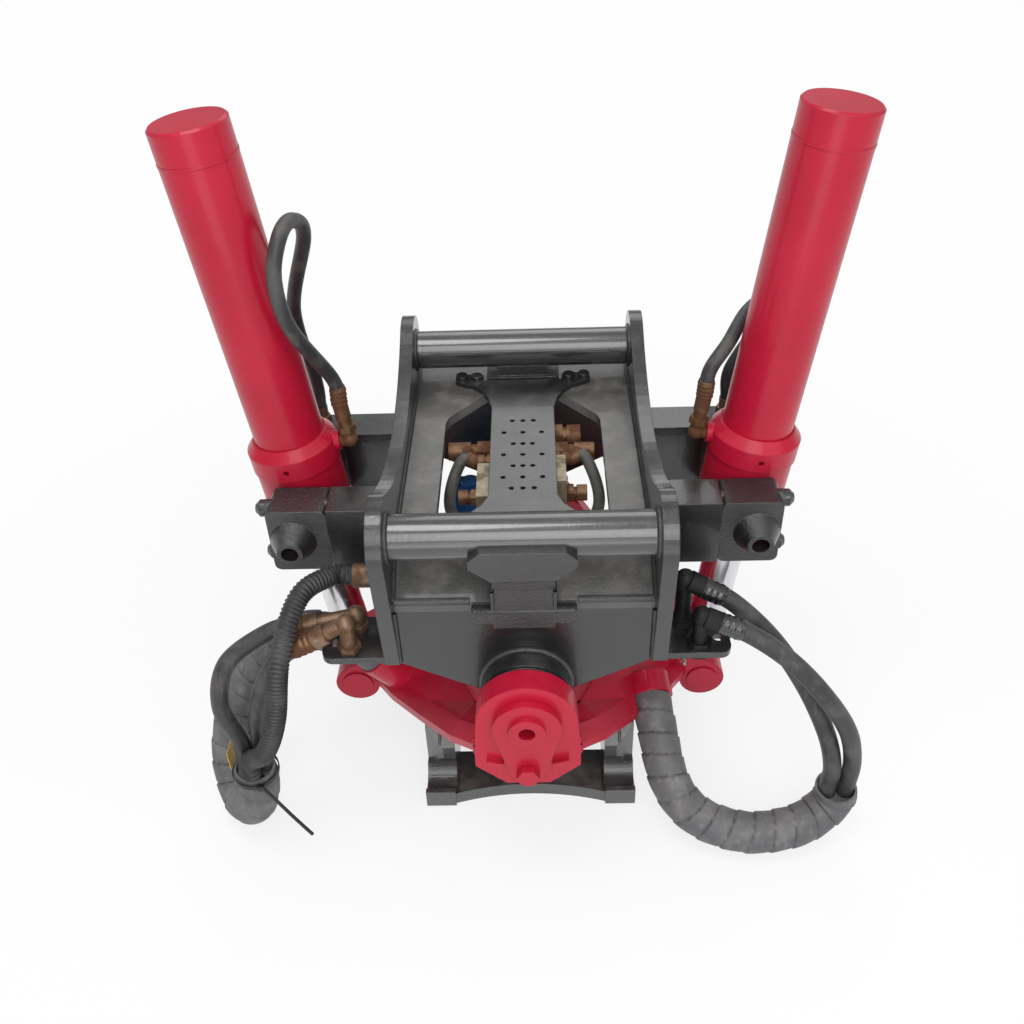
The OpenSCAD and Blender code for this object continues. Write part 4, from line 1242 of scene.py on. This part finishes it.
@dataclass
class Studio:
    """Camera, floor and light; lengths in metres, angles in degrees."""

    place: Point = (0.021, -1.264, 1.378)
    azimuth: float = -1.82
    depression: float = 37.78
    roll: float = -2.27
    lens: float = 37.02
    sensor: float = 36.0
    floor_size: float = 60.0
    floor_colour: Colour = (0.93, 0.93, 0.935)
    floor_roughness: float = 0.6
    white: Colour = (1.0, 1.0, 1.0)
    white_near: float = 0.77
    white_gain: float = 0.2
    white_reach: Pair = (0.6, 1.6)
    horizon: float = 0.3
    zenith: float = 0.7
    sky_heights: Pair = (0.2, 0.9)
    lamps: tuple[Lamp, ...] = (
        Lamp("key", (-0.4, -0.5, 3.0), size=1.0, power=18.0),
        Lamp("front", (0.2, -2.3, 2.1), size=1.8, power=32.0),
        Lamp("low", (-0.1, -2.3, 0.4), size=1.2, power=7.0),
        Lamp("fill", (2.2, -1.4, 2.2), size=1.6, power=8.0),
        Lamp("back", (0.3, 2.6, 2.8), size=1.8, power=16.0),
    )

    def camera(self) -> None:
        """Sets the camera at the photograph's point of view."""
        az, el, roll = (math.radians(a) for a in (self.azimuth, self.depression, self.roll))
        ahead = Vector((math.sin(az) * math.cos(el), math.cos(az) * math.cos(el), -math.sin(el)))
        right = Vector((math.cos(az), -math.sin(az), 0.0))
        up = right.cross(ahead)
        across = right * math.cos(roll) + up * math.sin(roll)
        upright = up * math.cos(roll) - right * math.sin(roll)
        data = bpy.data.cameras.new("camera")
        data.lens = self.lens
        data.sensor_width = self.sensor
        camera = bpy.data.objects.new("camera", data)
        bpy.context.collection.objects.link(camera)
        turn = Matrix((across, upright, -ahead)).transposed().to_4x4()
        camera.matrix_world = Matrix.Translation(self.place) @ turn
        bpy.context.scene.camera = camera

    def floor(self) -> None:
        """Lays a pale floor that the camera sees nearly white, with the part's shadow on it."""
        bpy.ops.mesh.primitive_plane_add(size=self.floor_size)
        plane = bpy.context.active_object
        plane.name = "floor"
        graph = Graph("pale_floor")
        graph.surface(base_color=self.floor_colour, roughness=self.floor_roughness)
        path = graph.add("ShaderNodeLightPath", {}, {}).outputs
        seen, mirrored, through = (
            Value(graph, path[name]) for name in ("Is Camera Ray", "Is Glossy Ray", "Is Transmission Ray"))
        straight = seen + mirrored + through
        place = graph.add("ShaderNodeVectorMath", {"operation": "LENGTH"}, {0: graph.place()})
        far = Value(graph, place.outputs["Value"]).step(*self.white_reach)
        whiter = far * self.white_gain + self.white_near
        glow = graph.add("ShaderNodeEmission", {}, {"Color": self.white, "Strength": 1.0})
        pale = graph.add("ShaderNodeMixShader", {}, {
            0: straight.math("MINIMUM", straight, 1.0) * whiter,
            1: graph.shader.outputs[0],
            2: glow.outputs[0],
        })
        graph.feed(graph.tree.nodes["Material Output"].inputs[0], pale.outputs[0])
        dress(plane, graph.material)

    def surround(self) -> None:
        """Sets a pale sky, brighter overhead, which the camera sees as plain white."""
        world = bpy.data.worlds.new("surround")
        bpy.context.scene.world = world
        world.use_nodes = True
        nodes, links = world.node_tree.nodes, world.node_tree.links
        backdrop = nodes["Background"]
        backdrop.inputs["Color"].default_value = (*self.white, 1.0)
        height = nodes.new("ShaderNodeSeparateXYZ")
        links.new(nodes.new("ShaderNodeTexCoord").outputs["Generated"], height.inputs[0])
        glow = nodes.new("ShaderNodeMapRange")
        glow.interpolation_type = "SMOOTHSTEP"
        sockets = ("From Min", "From Max", "To Min", "To Max")
        for name, given in zip(sockets, (*self.sky_heights, self.horizon, self.zenith)):
            glow.inputs[name].default_value = given
        links.new(height.outputs[2], glow.inputs["Value"])
        seen = nodes.new("ShaderNodeMix")
        seen.inputs["B"].default_value = 1.0
        links.new(nodes.new("ShaderNodeLightPath").outputs["Is Camera Ray"], seen.inputs["Factor"])
        links.new(glow.outputs[0], seen.inputs["A"])
        links.new(seen.outputs["Result"], backdrop.inputs["Strength"])

    def build(self) -> None:
        """Sets up the whole studio."""
        self.camera()
        self.floor()
        for lamp in self.lamps:
            lamp.build()
        self.surround()
        bpy.context.scene.view_settings.view_transform = "Standard"
        LOG.info("studio with %d lamps", len(self.lamps))


def main() -> None:
    """Builds the scene."""
    logging.basicConfig(level=logging.INFO, format="%(message)s")
    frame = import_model()
    Studio().build()
    CadFinishes().apply(frame)
    HoseSet().build()
    Welds().build()
    SmallPieces().build()


if __name__ == "__main__":
    main()
